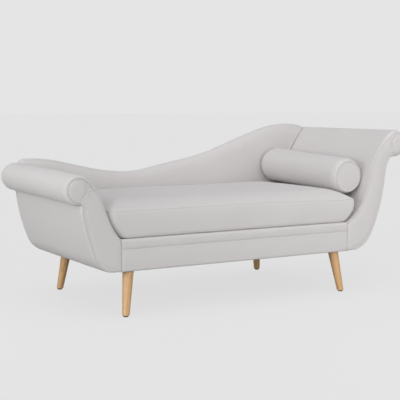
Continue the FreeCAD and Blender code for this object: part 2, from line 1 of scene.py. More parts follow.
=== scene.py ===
import bpy
import bmesh
import math
import numpy as np
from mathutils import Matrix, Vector


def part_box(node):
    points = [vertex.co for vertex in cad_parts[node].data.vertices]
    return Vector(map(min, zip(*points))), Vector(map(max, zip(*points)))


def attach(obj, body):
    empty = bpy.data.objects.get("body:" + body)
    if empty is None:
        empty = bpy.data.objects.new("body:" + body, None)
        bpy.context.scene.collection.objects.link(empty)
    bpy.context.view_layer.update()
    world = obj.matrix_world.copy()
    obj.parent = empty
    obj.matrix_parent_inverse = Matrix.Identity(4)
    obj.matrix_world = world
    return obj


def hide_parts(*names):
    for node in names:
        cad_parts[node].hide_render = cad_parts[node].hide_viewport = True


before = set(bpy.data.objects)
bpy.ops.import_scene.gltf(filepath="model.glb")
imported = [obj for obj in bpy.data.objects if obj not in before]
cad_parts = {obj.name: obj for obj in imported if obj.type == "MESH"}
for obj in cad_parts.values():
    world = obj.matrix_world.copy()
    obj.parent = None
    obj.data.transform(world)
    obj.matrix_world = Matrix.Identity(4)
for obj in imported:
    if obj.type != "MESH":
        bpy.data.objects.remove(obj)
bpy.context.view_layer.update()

body = {                         # metres, x from the middle of the seat, z from the floor
    "middleX": 0.051,
    "halfSeat": 0.550,
    "front": -0.352,
    "rear": 0.352,
    "bottom": 0.178,
    "deck": 0.307,
    "cloth": 0.003,
    "rollRadius": 0.059,
    "armFoot": 0.045,
}
arms = {                         # outlines as (outward from the seat, above the deck)
    "low": {
        "side": -1, "startSlope": 45.0, "inner": [(0.050, 0.079), (0.082, 0.168)], "roll": (0.174, 0.205),
        "footSlope": 14.0, "outer": [(0.118, -0.066), (0.157, 0.062), (0.167, 0.129)],
    },
    "high": {
        "side": 1, "startSlope": 27.0, "inner": [(0.095, 0.101), (0.124, 0.198)], "roll": (0.276, 0.340),
        "footSlope": 12.0, "outer": [(0.134, -0.063), (0.179, 0.044), (0.211, 0.194), (0.219, 0.238)],
    },
}


# Outlines of tangent arcs
def alongArc(arc, share):
    (u, z), angle, bend, length = arc
    s = share * length
    if abs(bend) < 1e-6:
        return (u + s * math.cos(angle), z + s * math.sin(angle)), angle
    end = angle + bend * s
    return (u + (math.sin(end) - math.sin(angle)) / bend, z - (math.cos(end) - math.cos(angle)) / bend), end


def arcTo(point, angle, target):
    du, dz = target[0] - point[0], target[1] - point[1]
    chord = math.hypot(du, dz)
    turn = (math.atan2(dz, du) - angle + math.pi) % (2 * math.pi) - math.pi
    bend = 2 * math.sin(turn) / chord
    return (point, angle, bend, chord if abs(bend) < 1e-6 else 2 * turn / bend)


def arcChain(point, angle, targets):
    chain = []
    for target in targets:
        chain.append(arcTo(point, angle, target))
        point, angle = alongArc(chain[-1], 1.0)
    return chain


def backwards(chain):
    ends = [(alongArc(arc, 1.0), arc) for arc in reversed(chain)]
    return [(point, angle + math.pi, -arc[2], arc[3]) for (point, angle), arc in ends]


def armOutline(arm):
    deck, radius = body["deck"], body["rollRadius"]
    cu, cz = arm["roll"][0], deck + arm["roll"][1]
    inner = arcChain((0.0, deck), math.radians(arm["startSlope"]), [(u, deck + h) for u, h in arm["inner"]])
    (pu, pz), angle = alongArc(inner[-1], 1.0)
    nu, nz = math.sin(angle), -math.cos(angle)
    du, dz = pu - cu, pz - cz
    lead = (radius ** 2 - du ** 2 - dz ** 2) / (2 * (radius + nu * du + nz * dz))
    rollOn = math.atan2(cz - pz - lead * nz, cu - pu - lead * nu)
    inner.append(((pu, pz), angle, -1 / lead, lead * (angle - rollOn + math.pi / 2)))
    outer = arcChain((body["armFoot"], body["bottom"]), math.radians(arm["footSlope"]),
                     [(u, deck + h) for u, h in arm["outer"]])
    (ou, oz), rise = alongArc(outer[-1], 1.0)
    nu, nz = math.sin(rise), -math.cos(rise)
    du, dz = ou - cu, oz - cz
    neck = (du ** 2 + dz ** 2 - radius ** 2) / (2 * (radius - nu * du - nz * dz))
    rollOff = math.atan2(oz + neck * nz - cz, ou + neck * nu - cu)
    start = (cu + radius * math.cos(rollOn), cz + radius * math.sin(rollOn))
    inner.append((start, rollOn - math.pi / 2, -1 / radius, radius * ((rollOn - rollOff) % (2 * math.pi))))
    point, angle = alongArc(inner[-1], 1.0)
    turn = (rise + math.pi - angle) % (2 * math.pi)
    inner.append((point, angle, 1 / neck, neck * turn / 2))
    point, angle = alongArc(inner[-1], 1.0)
    return inner, [(point, angle, 1 / neck, neck * turn / 2)] + backwards(outer)


def sampleChain(chain, step):  # points, outward normals and lengths, evenly spaced
    total = sum(arc[3] for arc in chain)
    count = max(2, int(round(total / step)) + 1)
    points, normals, lengths = [], [], np.linspace(0, total, count)
    for s in lengths:
        passed = 0.0
        for arc in chain:
            if s <= passed + arc[3] + 1e-9 or arc is chain[-1]:
                point, angle = alongArc(arc, min(1.0, (s - passed) / arc[3]))
                break
            passed += arc[3]
        points.append(point)
        normals.append((-math.sin(angle), math.cos(angle)))
    return np.array(points), np.array(normals), lengths


# Meshes from grids of points
def ripple(points, wave, seed):  # soft noise, from -1 to 1
    rng = np.random.RandomState(seed)
    total = np.zeros(points.shape[:-1])
    for _ in range(9):
        direction = rng.normal(size=3)
        direction *= rng.uniform(0.6, 1.6) * 2 * math.pi / wave / np.linalg.norm(direction)
        total += np.sin(points @ direction + rng.uniform(0, 2 * math.pi))
    return total / 4.0


def cosineSpread(count):
    return 0.5 - 0.5 * np.cos(np.linspace(0, math.pi, count))


def circle(count):
    return np.linspace(0, 2 * math.pi, count, endpoint=False)


def runLengths(points):
    return np.concatenate([[0], np.cumsum(np.linalg.norm(np.diff(points, axis=0), axis=1))])


def ease(value, low, high):
    t = np.clip((value - low) / (high - low), 0.0, 1.0)
    return t * t * (3 - 2 * t)


def inScene(name, data):
    made = bpy.data.objects.new(name, data)
    bpy.context.scene.collection.objects.link(made)
    return made


def makeObject(name, vertices, faces, uvs, material):
    mesh = bpy.data.meshes.new(name)
    mesh.from_pydata([tuple(v) for v in vertices], [], faces)
    layer = mesh.uv_layers.new(name="cloth")
    layer.data.foreach_set("uv", np.array(uvs, np.float32).reshape(-1))
    mesh.polygons.foreach_set("use_smooth", [True] * len(mesh.polygons))
    mesh.update()
    if material:
        mesh.materials.append(material)
    return inScene(name, mesh)


def meshGrid(down, across):
    return np.stack(np.meshgrid(down, across, indexing="ij"), axis=-1)


def turned(name, rings, lengths, around, material, flip=True):  # rings of points, closed at both ends
    rings = np.array(rings)
    rows, count = rings.shape[:2]
    uv = meshGrid(lengths, np.linspace(0, around, count + 1))
    faces, corners = gridFaces(rows, count, uv, wrapCols=True, flip=flip)
    last = rows * count
    ends = [list(range(count)), list(range(last - 1, last - count - 1, -1))]
    faces += ends if flip else [end[::-1] for end in ends]
    return makeObject(name, rings.reshape(-1, 3), faces, corners + [(0.0, 0.0)] * 2 * count, material)


def gridFaces(rows, cols, uv, offset=0, wrapRows=False, wrapCols=False, flip=False):
    faces, corners = [], []  # uv has one more row or column where the grid wraps
    for i in range(rows if wrapRows else rows - 1):
        for j in range(cols if wrapCols else cols - 1):
            i2, j2 = (i + 1) % rows, (j + 1) % cols
            quad = [(i, j, i, j), (i, j2, i, j + 1), (i2, j2, i + 1, j + 1), (i2, j, i + 1, j)]
            if flip:
                quad.reverse()
            faces.append([offset + q[0] * cols + q[1] for q in quad])
            corners += [uv[q[2]][q[3]] for q in quad]
    return faces, corners


def lengthsAlong(grid, axis):
    steps = np.linalg.norm(np.diff(grid, axis=axis), axis=-1)
    shape = list(grid.shape[:2])
    shape[axis] = 1
    return np.concatenate([np.zeros(shape), np.cumsum(steps, axis=axis)], axis=axis)


def sheetObject(name, outer, inner, material, flip=False):  # closed sheet between two grids of the same size
    rows, cols = outer.shape[:2]
    across, down = lengthsAlong(outer, 1), lengthsAlong(outer, 0)
    uv = np.stack([across + outer[0, 0, 0], down + outer[0, 0, 1]], axis=-1)
    faces, corners = gridFaces(rows, cols, uv, flip=flip)
    backFaces, backCorners = gridFaces(rows, cols, uv, rows * cols, flip=not flip)
    faces, corners = faces + backFaces, corners + backCorners
    ring = [(0, j) for j in range(cols)] + [(i, cols - 1) for i in range(1, rows)]
    ring += [(rows - 1, j) for j in range(cols - 2, -1, -1)] + [(i, 0) for i in range(rows - 2, 0, -1)]
    for a, b in zip(ring, ring[1:] + ring[:1]):
        ids = [a[0] * cols + a[1], b[0] * cols + b[1]]
        quad = [ids[1], ids[0], ids[0] + rows * cols, ids[1] + rows * cols]
        places = [b, a, a, b]
        if flip:
            quad.reverse()
            places.reverse()
        faces.append(quad)
        corners += [uv[i][j] for i, j in places]
    vertices = np.concatenate([outer.reshape(-1, 3), inner.reshape(-1, 3)])
    return makeObject(name, vertices, faces, corners, material)


def tubeObject(name, path, radius, material, sides=12, closed=False, up=(0, 1, 0)):
    path = np.array(path, float)  # the radius is one number or one for each point
    count = len(path)
    ahead = np.roll(path, -1, 0) - np.roll(path, 1, 0)
    if not closed:
        ahead[0], ahead[-1] = path[1] - path[0], path[-1] - path[-2]
    ahead /= np.linalg.norm(ahead, axis=1)[:, None]
    side = np.cross(ahead, np.array(up, float))
    side /= np.linalg.norm(side, axis=1)[:, None]
    top = np.cross(side, ahead)
    radii = np.broadcast_to(np.array(radius, float), (count,))
    angles = circle(sides)
    rings = [path + radii[:, None] * (side * math.cos(a) + top * math.sin(a)) for a in angles]
    grid = np.stack(rings, axis=1)
    steps = runLengths(path)
    run = np.concatenate([steps, [steps[-1] + np.linalg.norm(path[0] - path[-1])]])
    turn = np.linspace(0, 2 * math.pi * radii.mean(), sides + 1)
    uv = meshGrid(run, turn)
    faces, corners = gridFaces(count, sides, uv, wrapRows=closed, wrapCols=True, flip=True)
    if not closed:
        last = count * sides
        for ring in (list(range(sides)), list(range(last - 1, last - sides - 1, -1))):
            faces.append(ring)
            corners += [(0.0, 0.0)] * sides
    return makeObject(name, grid.reshape(-1, 3), faces, corners, material)


def placed(points, side=1.0):  # x comes in as the way outward from the middle of the seat
    out = np.array(points, float)
    out[..., 0] = side * out[..., 0] - body["middleX"]
    return out


def finishPiece(made, bodyName, nodes=()):
    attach(made, bodyName)
    if nodes:
        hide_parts(*nodes)
    return made


def clothPiece(name, outer, inner, flip, nodes, side=1.0):
    made = sheetObject(name, placed(outer, side), placed(inner, side), materials["linen"], flip=flip)
    return finishPiece(made, "frame", nodes)


# Materials
def newGroup(name, inputs, outputs):
    group = bpy.data.node_groups.new(name, "ShaderNodeTree")
    for label, kind, value in inputs:
        socket = group.interface.new_socket(name=label, in_out="INPUT", socket_type=kind)
        if value is not None:
            socket.default_value = value
    for label, kind in outputs:
        group.interface.new_socket(name=label, in_out="OUTPUT", socket_type=kind)
    return group, group.nodes.new("NodeGroupInput"), group.nodes.new("NodeGroupOutput")


def setInputs(node, values):
    for label, value in values.items():
        node.inputs[label].default_value = value


def mathNode(tree, operation, *values):
    node = tree.nodes.new("ShaderNodeMath")
    node.operation = operation
    for i, value in enumerate(values):
        if isinstance(value, (int, float)):
            node.inputs[i].default_value = value
        else:
            tree.links.new(value, node.inputs[i])
    return node.outputs[0]


def mixColour(tree, factor, a, b):
    node = tree.nodes.new("ShaderNodeMix")
    node.data_type = "RGBA"
    for socket, value in ((node.inputs[0], factor), (node.inputs[6], a), (node.inputs[7], b)):
        if isinstance(value, (int, float, tuple)):
            socket.default_value = value
        else:
            tree.links.new(value, socket)
    return node.outputs[2]


def scaledNoise(tree, vector, scale, detail, stretch=(1, 1, 1), roughness=0.5):
    mapping = tree.nodes.new("ShaderNodeMapping")
    mapping.inputs["Scale"].default_value = stretch
    tree.links.new(vector, mapping.inputs["Vector"])
    noise = tree.nodes.new("ShaderNodeTexNoise")
    setInputs(noise, {"Scale": scale, "Detail": detail, "Roughness": roughness})
    tree.links.new(mapping.outputs[0], noise.inputs["Vector"])
    return noise.outputs["Fac"]


def groupNode(tree, group, vector, values):
    node = tree.nodes.new("ShaderNodeGroup")
    node.node_tree = group
    setInputs(node, values)
    tree.links.new(vector, node.inputs["Vector"])
    return node


def weaveGroup():  # uneven slubby yarns, the vector is in metres
    group, start, end = newGroup("plainWeave", [
        ("Vector", "NodeSocketVector", None), ("Threads", "NodeSocketFloat", 900.0),
        ("Slub", "NodeSocketFloat", 0.5),
    ], [("Thread", "NodeSocketFloat"), ("Tone", "NodeSocketFloat"), ("Height", "NodeSocketFloat")])
    split = group.nodes.new("ShaderNodeSeparateXYZ")
    group.links.new(start.outputs["Vector"], split.inputs[0])
    waves = []
    for axis in (0, 1):
        turns = mathNode(group, "MULTIPLY", split.outputs[axis], start.outputs["Threads"])
        waves.append(mathNode(group, "SINE", mathNode(group, "MULTIPLY", turns, 2 * math.pi)))
    over = mathNode(group, "MULTIPLY", waves[0], waves[1])
    lines = mathNode(group, "MAXIMUM", *[mathNode(group, "ABSOLUTE", wave) for wave in waves])
    relief = mathNode(group, "MULTIPLY_ADD", over, 0.35, lines)
    along = scaledNoise(group, start.outputs["Vector"], 260.0, 3.0, (0.12, 1.0, 1.0))
    across = scaledNoise(group, start.outputs["Vector"], 260.0, 3.0, (1.0, 0.12, 1.0))
    slubs = mathNode(group, "MULTIPLY", mathNode(group, "ADD", along, across), 0.5)
    group.links.new(relief, end.inputs["Thread"])
    group.links.new(slubs, end.inputs["Tone"])
    slubbed = mathNode(group, "MULTIPLY", slubs, start.outputs["Slub"])
    group.links.new(mathNode(group, "ADD", relief, slubbed), end.inputs["Height"])
    return group


def grainGroup():  # the grain runs along the vector's third axis
    group, start, end = newGroup("woodGrain", [
        ("Vector", "NodeSocketVector", None), ("Rings", "NodeSocketFloat", 60.0),
    ], [("Ring", "NodeSocketFloat"), ("Pore", "NodeSocketFloat"), ("Drift", "NodeSocketFloat")])
    vector = start.outputs["Vector"]
    bend = scaledNoise(group, vector, 9.0, 2.0, (1.0, 1.0, 0.25))
    split = group.nodes.new("ShaderNodeSeparateXYZ")
    group.links.new(vector, split.inputs[0])
    lean = mathNode(group, "MULTIPLY_ADD", split.outputs[2], 0.06, split.outputs[0])
    wavy = mathNode(group, "MULTIPLY_ADD", bend, 0.05, lean)
    radial = mathNode(group, "MULTIPLY", wavy, start.outputs["Rings"])
    sideways = mathNode(group, "MULTIPLY", split.outputs[1], 14.0)
    saw = mathNode(group, "FRACT", mathNode(group, "ADD", radial, sideways))
    ring = mathNode(group, "POWER", saw, 3.0)
    pores = scaledNoise(group, vector, 1.0, 2.0, (900.0, 900.0, 30.0))
    poreMask = mathNode(group, "GREATER_THAN", pores, 0.63)
    group.links.new(ring, end.inputs["Ring"])
    group.links.new(poreMask, end.inputs["Pore"])
    group.links.new(scaledNoise(group, vector, 14.0, 3.0, (1.0, 1.0, 0.15)), end.inputs["Drift"])
    return group


groups = {"weave": weaveGroup(), "grain": grainGroup()}


def newMaterial(name):
    material = bpy.data.materials.new(name)
    material.use_nodes = True
    return material, material.node_tree, material.node_tree.nodes["Principled BSDF"]


def tinted(colour, factor=1.0):
    return tuple(min(1.0, c * factor) for c in colour) + (1.0,)


def addBump(tree, shader, height, strength, distance):
    bump = tree.nodes.new("ShaderNodeBump")
    setInputs(bump, {"Strength": strength, "Distance": distance})
    tree.links.new(height, bump.inputs["Height"])
    tree.links.new(bump.outputs[0], shader.inputs["Normal"])


def clothMaterial(name, colour, threads=850.0, contrast=0.10, roughness=0.92, sheen=0.15):
    material, tree, shader = newMaterial(name)  # on the mesh's own cloth coordinates
    uv = tree.nodes.new("ShaderNodeUVMap")
    uv.uv_map = "cloth"
    weave = groupNode(tree, groups["weave"], uv.outputs[0], {"Threads": threads})
    place = tree.nodes.new("ShaderNodeTexCoord")
    broad = scaledNoise(tree, place.outputs["Object"], 3.2, 3.0)
    pale = tinted(colour, 1 + contrast * 0.6)
    yarn = mixColour(tree, weave.outputs["Tone"], tinted(colour, 1 - contrast), pale)
    thread = mathNode(tree, "SUBTRACT", weave.outputs["Thread"], 0.75)
    shade = mathNode(tree, "MULTIPLY_ADD", thread, 0.25, 0.35)
    soft = mathNode(tree, "MULTIPLY_ADD", mathNode(tree, "SUBTRACT", broad, 0.5), 0.6, shade)
    tree.links.new(mixColour(tree, soft, yarn, tinted(colour, 1.015)), shader.inputs["Base Color"])
    rough = mathNode(tree, "MULTIPLY_ADD", weave.outputs["Tone"], 0.08, roughness - 0.04)
    tree.links.new(rough, shader.inputs["Roughness"])
    setInputs(shader, {"Sheen Weight": sheen, "Sheen Roughness": 0.5, "Specular IOR Level": 0.2})
    addBump(tree, shader, weave.outputs["Height"], 0.35, 0.0003)
    return material


def woodMaterial(name, light, dark, source, rings=60.0, roughness=0.5, coat=0.0):
    material, tree, shader = newMaterial(name)  # grain along a mesh attribute or the piece's x
    if source:
        place = tree.nodes.new("ShaderNodeAttribute")
        place.attribute_name = source
        vector = place.outputs["Vector"]
    else:
        place = tree.nodes.new("ShaderNodeTexCoord")
        turn = tree.nodes.new("ShaderNodeMapping")
        turn.inputs["Rotation"].default_value = (0.0, math.pi / 2, 0.0)
        tree.links.new(place.outputs["Object"], turn.inputs["Vector"])
        vector = turn.outputs[0]
    grain = groupNode(tree, groups["grain"], vector, {"Rings": rings})
    early = mixColour(tree, grain.outputs["Drift"], tinted(light), tinted(light, 0.9))
    late = mixColour(tree, mathNode(tree, "MULTIPLY", grain.outputs["Ring"], 0.75), early, tinted(dark))
    pored = mixColour(tree, mathNode(tree, "MULTIPLY", grain.outputs["Pore"], 0.35), late, tinted(dark, 0.6))
    tree.links.new(pored, shader.inputs["Base Color"])
    rough = mathNode(tree, "MULTIPLY_ADD", grain.outputs["Ring"], -0.08, roughness)
    rough = mathNode(tree, "MULTIPLY_ADD", grain.outputs["Pore"], 0.15, rough)
    tree.links.new(rough, shader.inputs["Roughness"])
    setInputs(shader, {"Coat Weight": coat, "Coat Roughness": 0.25})
    relief = mathNode(tree, "MULTIPLY_ADD", grain.outputs["Pore"], -0.6, grain.outputs["Ring"])
    addBump(tree, shader, relief, 0.25, 0.0003)
    return material


def speckleMaterial(name, colour, scale, contrast, roughness, metallic=0.0, distance=0.0005):
    material, tree, shader = newMaterial(name)  # felt, plastic or plated steel
    place = tree.nodes.new("ShaderNodeTexCoord")
    fine = scaledNoise(tree, place.outputs["Object"], scale, 4.0, roughness=0.7)
    broad = scaledNoise(tree, place.outputs["Object"], scale / 18, 3.0)
    both = mathNode(tree, "MULTIPLY_ADD", mathNode(tree, "SUBTRACT", broad, 0.5), 0.8, fine)
    grain = mixColour(tree, both, tinted(colour, 1 - contrast), tinted(colour, 1 + contrast))
    tree.links.new(grain, shader.inputs["Base Color"])
    tree.links.new(mathNode(tree, "MULTIPLY_ADD", fine, 0.2, roughness - 0.1), shader.inputs["Roughness"])
    shader.inputs["Metallic"].default_value = metallic
    addBump(tree, shader, fine, 0.4, distance)
    return material


colours = {                      # linear
    "linen": (0.590, 0.570, 0.566),
    "oakLight": (0.670, 0.415, 0.192),
    "oakDark": (0.440, 0.235, 0.095),
}
materials = {
    "linen": clothMaterial("linenCloth", colours["linen"]),
    "linenWelt": clothMaterial("linenWelt", tuple(c * 0.97 for c in colours["linen"]), threads=1000.0),
    "dust": clothMaterial("dustCloth", (0.020, 0.020, 0.022), threads=600.0, contrast=0.3, sheen=0.1),
    "webbing": clothMaterial("jute", (0.16, 0.10, 0.055), threads=420.0, contrast=0.35, sheen=0.0),
    "felt": speckleMaterial("deckFelt", (0.42, 0.40, 0.36), 900.0, 0.25, 0.95),
    "glide": speckleMaterial("glidePlastic", (0.030, 0.028, 0.026), 600.0, 0.2, 0.55),
    "steel": speckleMaterial("zincSteel", (0.55, 0.55, 0.53), 700.0, 0.12, 0.35, metallic=1.0, distance=0.0001),
    "oak": woodMaterial("turnedOak", colours["oakLight"], colours["oakDark"], "grain", rings=130.0,
                        roughness=0.42, coat=0.15),
    "plywood": woodMaterial("birchPlywood", (0.62, 0.45, 0.27), (0.42, 0.27, 0.14), "", rings=90.0,
                            roughness=0.7),
    "timber": woodMaterial("softwood", (0.66, 0.47, 0.26), (0.45, 0.26, 0.11), "", rings=45.0, roughness=0.75),
}
print("materials ready")


# Arms
armLook = {
    "step": 0.0065,              # mesh size
    "edgeRound": 0.0055,         # rounding at the front edge of the stem
    "rollRound": 0.0150,         # and of the roll
    "rearRound": 0.0060,
    "weltRadius": 0.0027,
    "ripple": 0.0006,
    "edgeDraw": 0.85,            # share of the rounding by which the front edge draws in
    "creaseDip": 0.0045,
    "faceDome": 0.0050,
    "weltThin": 0.60,            # share by which the welt thins on the roll
    "weltSet": 0.0042,           # depth of the welt behind the front
    "sagPower": 1.5,             # how fast the hanging fades towards the rear
    "puckerDepth": 0.0019,
    "puckerCount": 22,
    "sag": {"low": 0.0105, "high": 0.0},         # how far the front end of the roll hangs below its rear end
    "seamInset": 0.0115,         # second seam line of the facing, in from its outer edge
    "seamDip": 0.0020,
}


def fromRoll(points, arm):
    return np.hypot(points[..., 0] - arm["roll"][0], points[..., 1] - body["deck"] - arm["roll"][1])


def rollShare(points, arm):  # 1 on the roll of an arm and 0 on its stem
    return 1 - ease(fromRoll(points, arm), body["rollRadius"] * 1.02, body["rollRadius"] * 1.6)


def sagged(points, arm, share):  # share runs from 0 at the front to 1 at the rear
    drop = armLook["sag"]["low" if arm["side"] < 0 else "high"]
    reach = body["rollRadius"]
    near = 1 - ease(fromRoll(points, arm), reach * 0.6, reach * 3.2)
    return near * drop * (1 - share) ** armLook["sagPower"]


def roundedInset(gap, radius):  # how far a surface draws in at a rounded edge
    return radius * (1 - np.sqrt(np.clip(1 - np.clip(1 - gap / radius, 0, 1) ** 2, 0, 1)))


def armCover(name, arm, chain, frontY, rearY, seed, dipStart, dipEnd, nodes):
    look = armLook
    points, normals, lengths = sampleChain(chain, look["step"])
    ends, span = np.array([0, .0012, .003, .0055, .009, .014]), rearY - frontY
    along = np.concatenate([ends, np.arange(0.020, span - 0.015, look["step"] * 1.6), span - ends[::-1]])
    ys = frontY + along
    roll = rollShare(points, arm)
    frontRound = look["edgeRound"] + (look["rollRound"] - look["edgeRound"]) * roll
    inset = roundedInset(ys[None, :] - frontY, frontRound[:, None]) * look["edgeDraw"]
    inset = inset + roundedInset(rearY - ys[None, :], look["rearRound"]) * 0.8
    for dip, ends in ((dipStart, lengths), (dipEnd, lengths[-1] - lengths)):
        inset = inset + dip * (1 - ease(ends, 0, 0.016))[:, None]
    grid = np.zeros((len(points), len(ys), 3))
    grid[..., 0], grid[..., 1], grid[..., 2] = points[:, None, 0], ys[None, :], points[:, None, 1]
    inset = inset - look["ripple"] * (ripple(grid, 0.16, seed) - 0.6)
    normal3 = np.stack([normals[:, 0], np.zeros(len(normals)), normals[:, 1]], axis=-1)[:, None, :]
    hang = sagged(points[:, None, :], arm, ((ys - frontY) / span)[None, :])
    outer = grid - normal3 * inset[..., None]
    inner = grid - normal3 * (inset + body["cloth"])[..., None]
    for layer in (outer, inner):
        layer[..., 2] -= hang
        layer[..., 0] += body["halfSeat"]
    clothPiece(name, outer, inner, arm["side"] > 0, nodes, side=arm["side"])


def facingRim(arm, runs):  # from the seat edge over the roll to the foot
    inside, outside = runs
    points, normals, _ = sampleChain(inside + outside, 0.004)
    roll = rollShare(points, arm)
    look = armLook
    inset = look["edgeDraw"] * (look["edgeRound"] + (look["rollRound"] - look["edgeRound"]) * roll)
    return points, normals, inset, roll


def armWelt(name, arm, runs, nodes):
    points, normals, inset, roll = facingRim(arm, runs)
    middle = points - normals * (inset + 0.0006)[:, None]
    middle[:, 1] -= sagged(points, arm, 0.0)
    depth = np.full(len(middle), body["front"] + armLook["weltSet"])
    path = np.stack([middle[:, 0] + body["halfSeat"], depth, middle[:, 1]], axis=-1)
    radius = armLook["weltRadius"] * (1 - armLook["weltThin"] * roll)
    made = tubeObject(name, placed(path, arm["side"]), radius, materials["linenWelt"], sides=10)
    finishPiece(made, "frame", nodes)


def armFacing(name, arm, runs, nodes):  # chords between its two sides, which meet on the roll
    look = armLook
    points, normals, inset, _ = facingRim(arm, runs)
    rim = points - normals * (inset + 0.0022)[:, None]
    footHeights = np.linspace(body["bottom"] + 0.0008, body["deck"] - 0.002, 26)
    foot = np.stack([np.full(26, 0.0008), footHeights], axis=-1)
    rim = np.concatenate([foot, rim])
    lengths = runLengths(rim)
    centre = np.array([arm["roll"][0], body["deck"] + arm["roll"][1]])
    away = np.linalg.norm(rim - centre, axis=1)
    angles = np.arctan2(rim[:, 1] - centre[1], rim[:, 0] - centre[0])
    onRoll = (away < body["rollRadius"]) & (angles < math.radians(-20)) & (angles > math.radians(-75))
    tip = np.mean(lengths[onRoll])
    crease = lengths[np.argmax(lengths > tip)]
    crest = lengths[np.argmax(rim[:, 1])]
    rows, cols = 150, 34
    share = np.linspace(0, 1, rows)
    stops = [0, 0.45, 0.62, 1.0]
    inLength = np.interp(share, stops, [0, crest - 0.09, crest + 0.01, tip])
    outEnd = lengths[-1] - tip
    neck = lengths[-1] - lengths[np.argmin(np.where(lengths > tip, away, 9.0))]
    outLength = np.interp(share, stops, [0, max(0.05, neck * 0.80), max(0.06, neck * 0.97), outEnd])
    a = np.stack([np.interp(inLength, lengths, rim[:, k]) for k in (0, 1)], axis=-1)
    b = np.stack([np.interp(lengths[-1] - outLength, lengths, rim[:, k]) for k in (0, 1)], axis=-1)
    t = cosineSpread(cols)
    plane = a[:, None, :] * (1 - t[None, :, None]) + b[:, None, :] * t[None, :, None]
    flat = plane.reshape(-1, 2)
    gaps = np.min(np.linalg.norm(flat[:, None, :] - rim[None, ::2, :], axis=2), axis=1).reshape(rows, cols)
    edgeGap = np.minimum(gaps, plane[..., 1] - body["bottom"])
    out = plane - centre
    radius, angle = np.hypot(out[..., 0], out[..., 1]), np.arctan2(out[..., 1], out[..., 0])
    dome = look["faceDome"] * (1 - np.exp(-edgeGap / 0.007)) / (1 - math.exp(-4))
    ring = radius / body["rollRadius"]
    outward = 0.5 + 0.5 * np.cos(angle - math.radians(165))
    band = ease(ring, 0.30, 0.55) * (1 - ease(ring, 0.70, 0.92))
    folds = np.cos(angle * look["puckerCount"] + 2.2 * np.sin(3 * angle) + 5 * ring)
    pucker = look["puckerDepth"] * band * (0.08 + 0.92 * outward ** 2) * folds
    swirl = np.exp(-((ring - 0.58 - 0.10 * np.cos(angle)) / 0.09) ** 2) * ease(outward, 0.35, 0.8)
    crown = ease(1 - ring, 0.0, 0.75) * 0.0008
    grid = np.zeros((rows, cols, 3))
    grid[..., 0], grid[..., 2] = plane[..., 0] + body["halfSeat"], plane[..., 1]
    soft = look["ripple"] * 0.7 * ripple(grid, 0.07, 41 if arm["side"] < 0 else 42)
    grid[..., 1] = body["front"] + 0.0052 - dome + pucker + 0.0026 * swirl - crown + soft
    outerSide = ease(t, 0.5, 0.6)[None, :] * ease(ring, 1.0, 1.25)
    grid[..., 1] += look["seamDip"] * outerSide * np.exp(-((edgeGap - look["seamInset"]) / 0.0022) ** 2)
    grid[..., 2] -= sagged(plane, arm, 0.0)
    back = grid.copy()
    back[..., 1] = body["front"] + 0.0085
    clothPiece(name, grid, back, arm["side"] < 0, nodes, side=arm["side"])


armRuns = {}
for key, arm in arms.items():
    inside, outside = armOutline(arm)
    armRuns[key] = (inside, outside)
    part = key + "_arm_"
    front, rear = body["front"] + 0.0055, body["rear"] - body["cloth"]
    armCover(part + "inner_cloth", arm, inside, front, rear, 11 + arm["side"], 0.0, armLook["creaseDip"],
             [part + "inside_cover", part + "inside_foam"])
    armCover(part + "outer_cloth", arm, outside, front, rear, 21 + arm["side"], armLook["creaseDip"], 0.002,
             [part + "outside_cover", part + "outside_pad"])
    armFacing(part + "facing_cloth", arm, (inside, outside),
              [part + "front_cover", part + "front_pad"])
    armWelt(part + "welt", arm, (inside, outside), [part + "front_piping"])
print("arms ready")


# Back
backLook = {
    "start": (-1.382, 0.273), "slope": 8.0,      # halves of the seat, heights above the deck
    "top": [(-1.207, 0.280), (-0.945, 0.264), (-0.727, 0.2365), (-0.451, 0.2115), (-0.170, 0.219),
            (0.205, 0.2585), (0.540, 0.309), (0.925, 0.384), (1.300, 0.416), (1.490, 0.392), (1.570, 0.368)],
    "endInset": (0.075, 0.049), "endRound": 0.022,
    "thickness": 0.058,
    "profile": [(0.0, 0.047), (0.002, 0.037), (0.008, 0.026), (0.018, 0.0185), (0.032, 0.0125), (0.052, 0.008),
                (0.080, 0.0045), (0.115, 0.0018), (0.150, 0.0)],  # below the top, and behind the front face
    "ripple": 0.0009,
    "rearDome": 0.0026, "rearSet": 0.0028,       # how far the rear cover swells, from how far behind the rear
}


def outlineHeights(runs):  # heights over the distance outward from the seat
    points, _, _ = sampleChain(runs[0] + runs[1], 0.002)
    far = int(np.argmax(points[:, 0]))
    upper, lower = points[:far + 1], points[far:][::-1]
    order = np.maximum.accumulate(upper[:, 0])
    lowOrder = np.maximum.accumulate(lower[:, 0])
    above, under = (lambda u: np.interp(u, order, upper[:, 1])), (lambda u: np.interp(u, lowOrder, lower[:, 1]))
    return above, under, points[far, 0]


armHeights = {key: outlineHeights(runs) for key, runs in armRuns.items()}


def backTop():
    half = body["halfSeat"]
    start = (backLook["start"][0] * half, body["deck"] + backLook["start"][1])
    chain = arcChain(start, math.radians(backLook["slope"]),
                     [(u * half, body["deck"] + h) for u, h in backLook["top"]])
    points, normals, _ = sampleChain(chain, 0.004)
    return points, normals


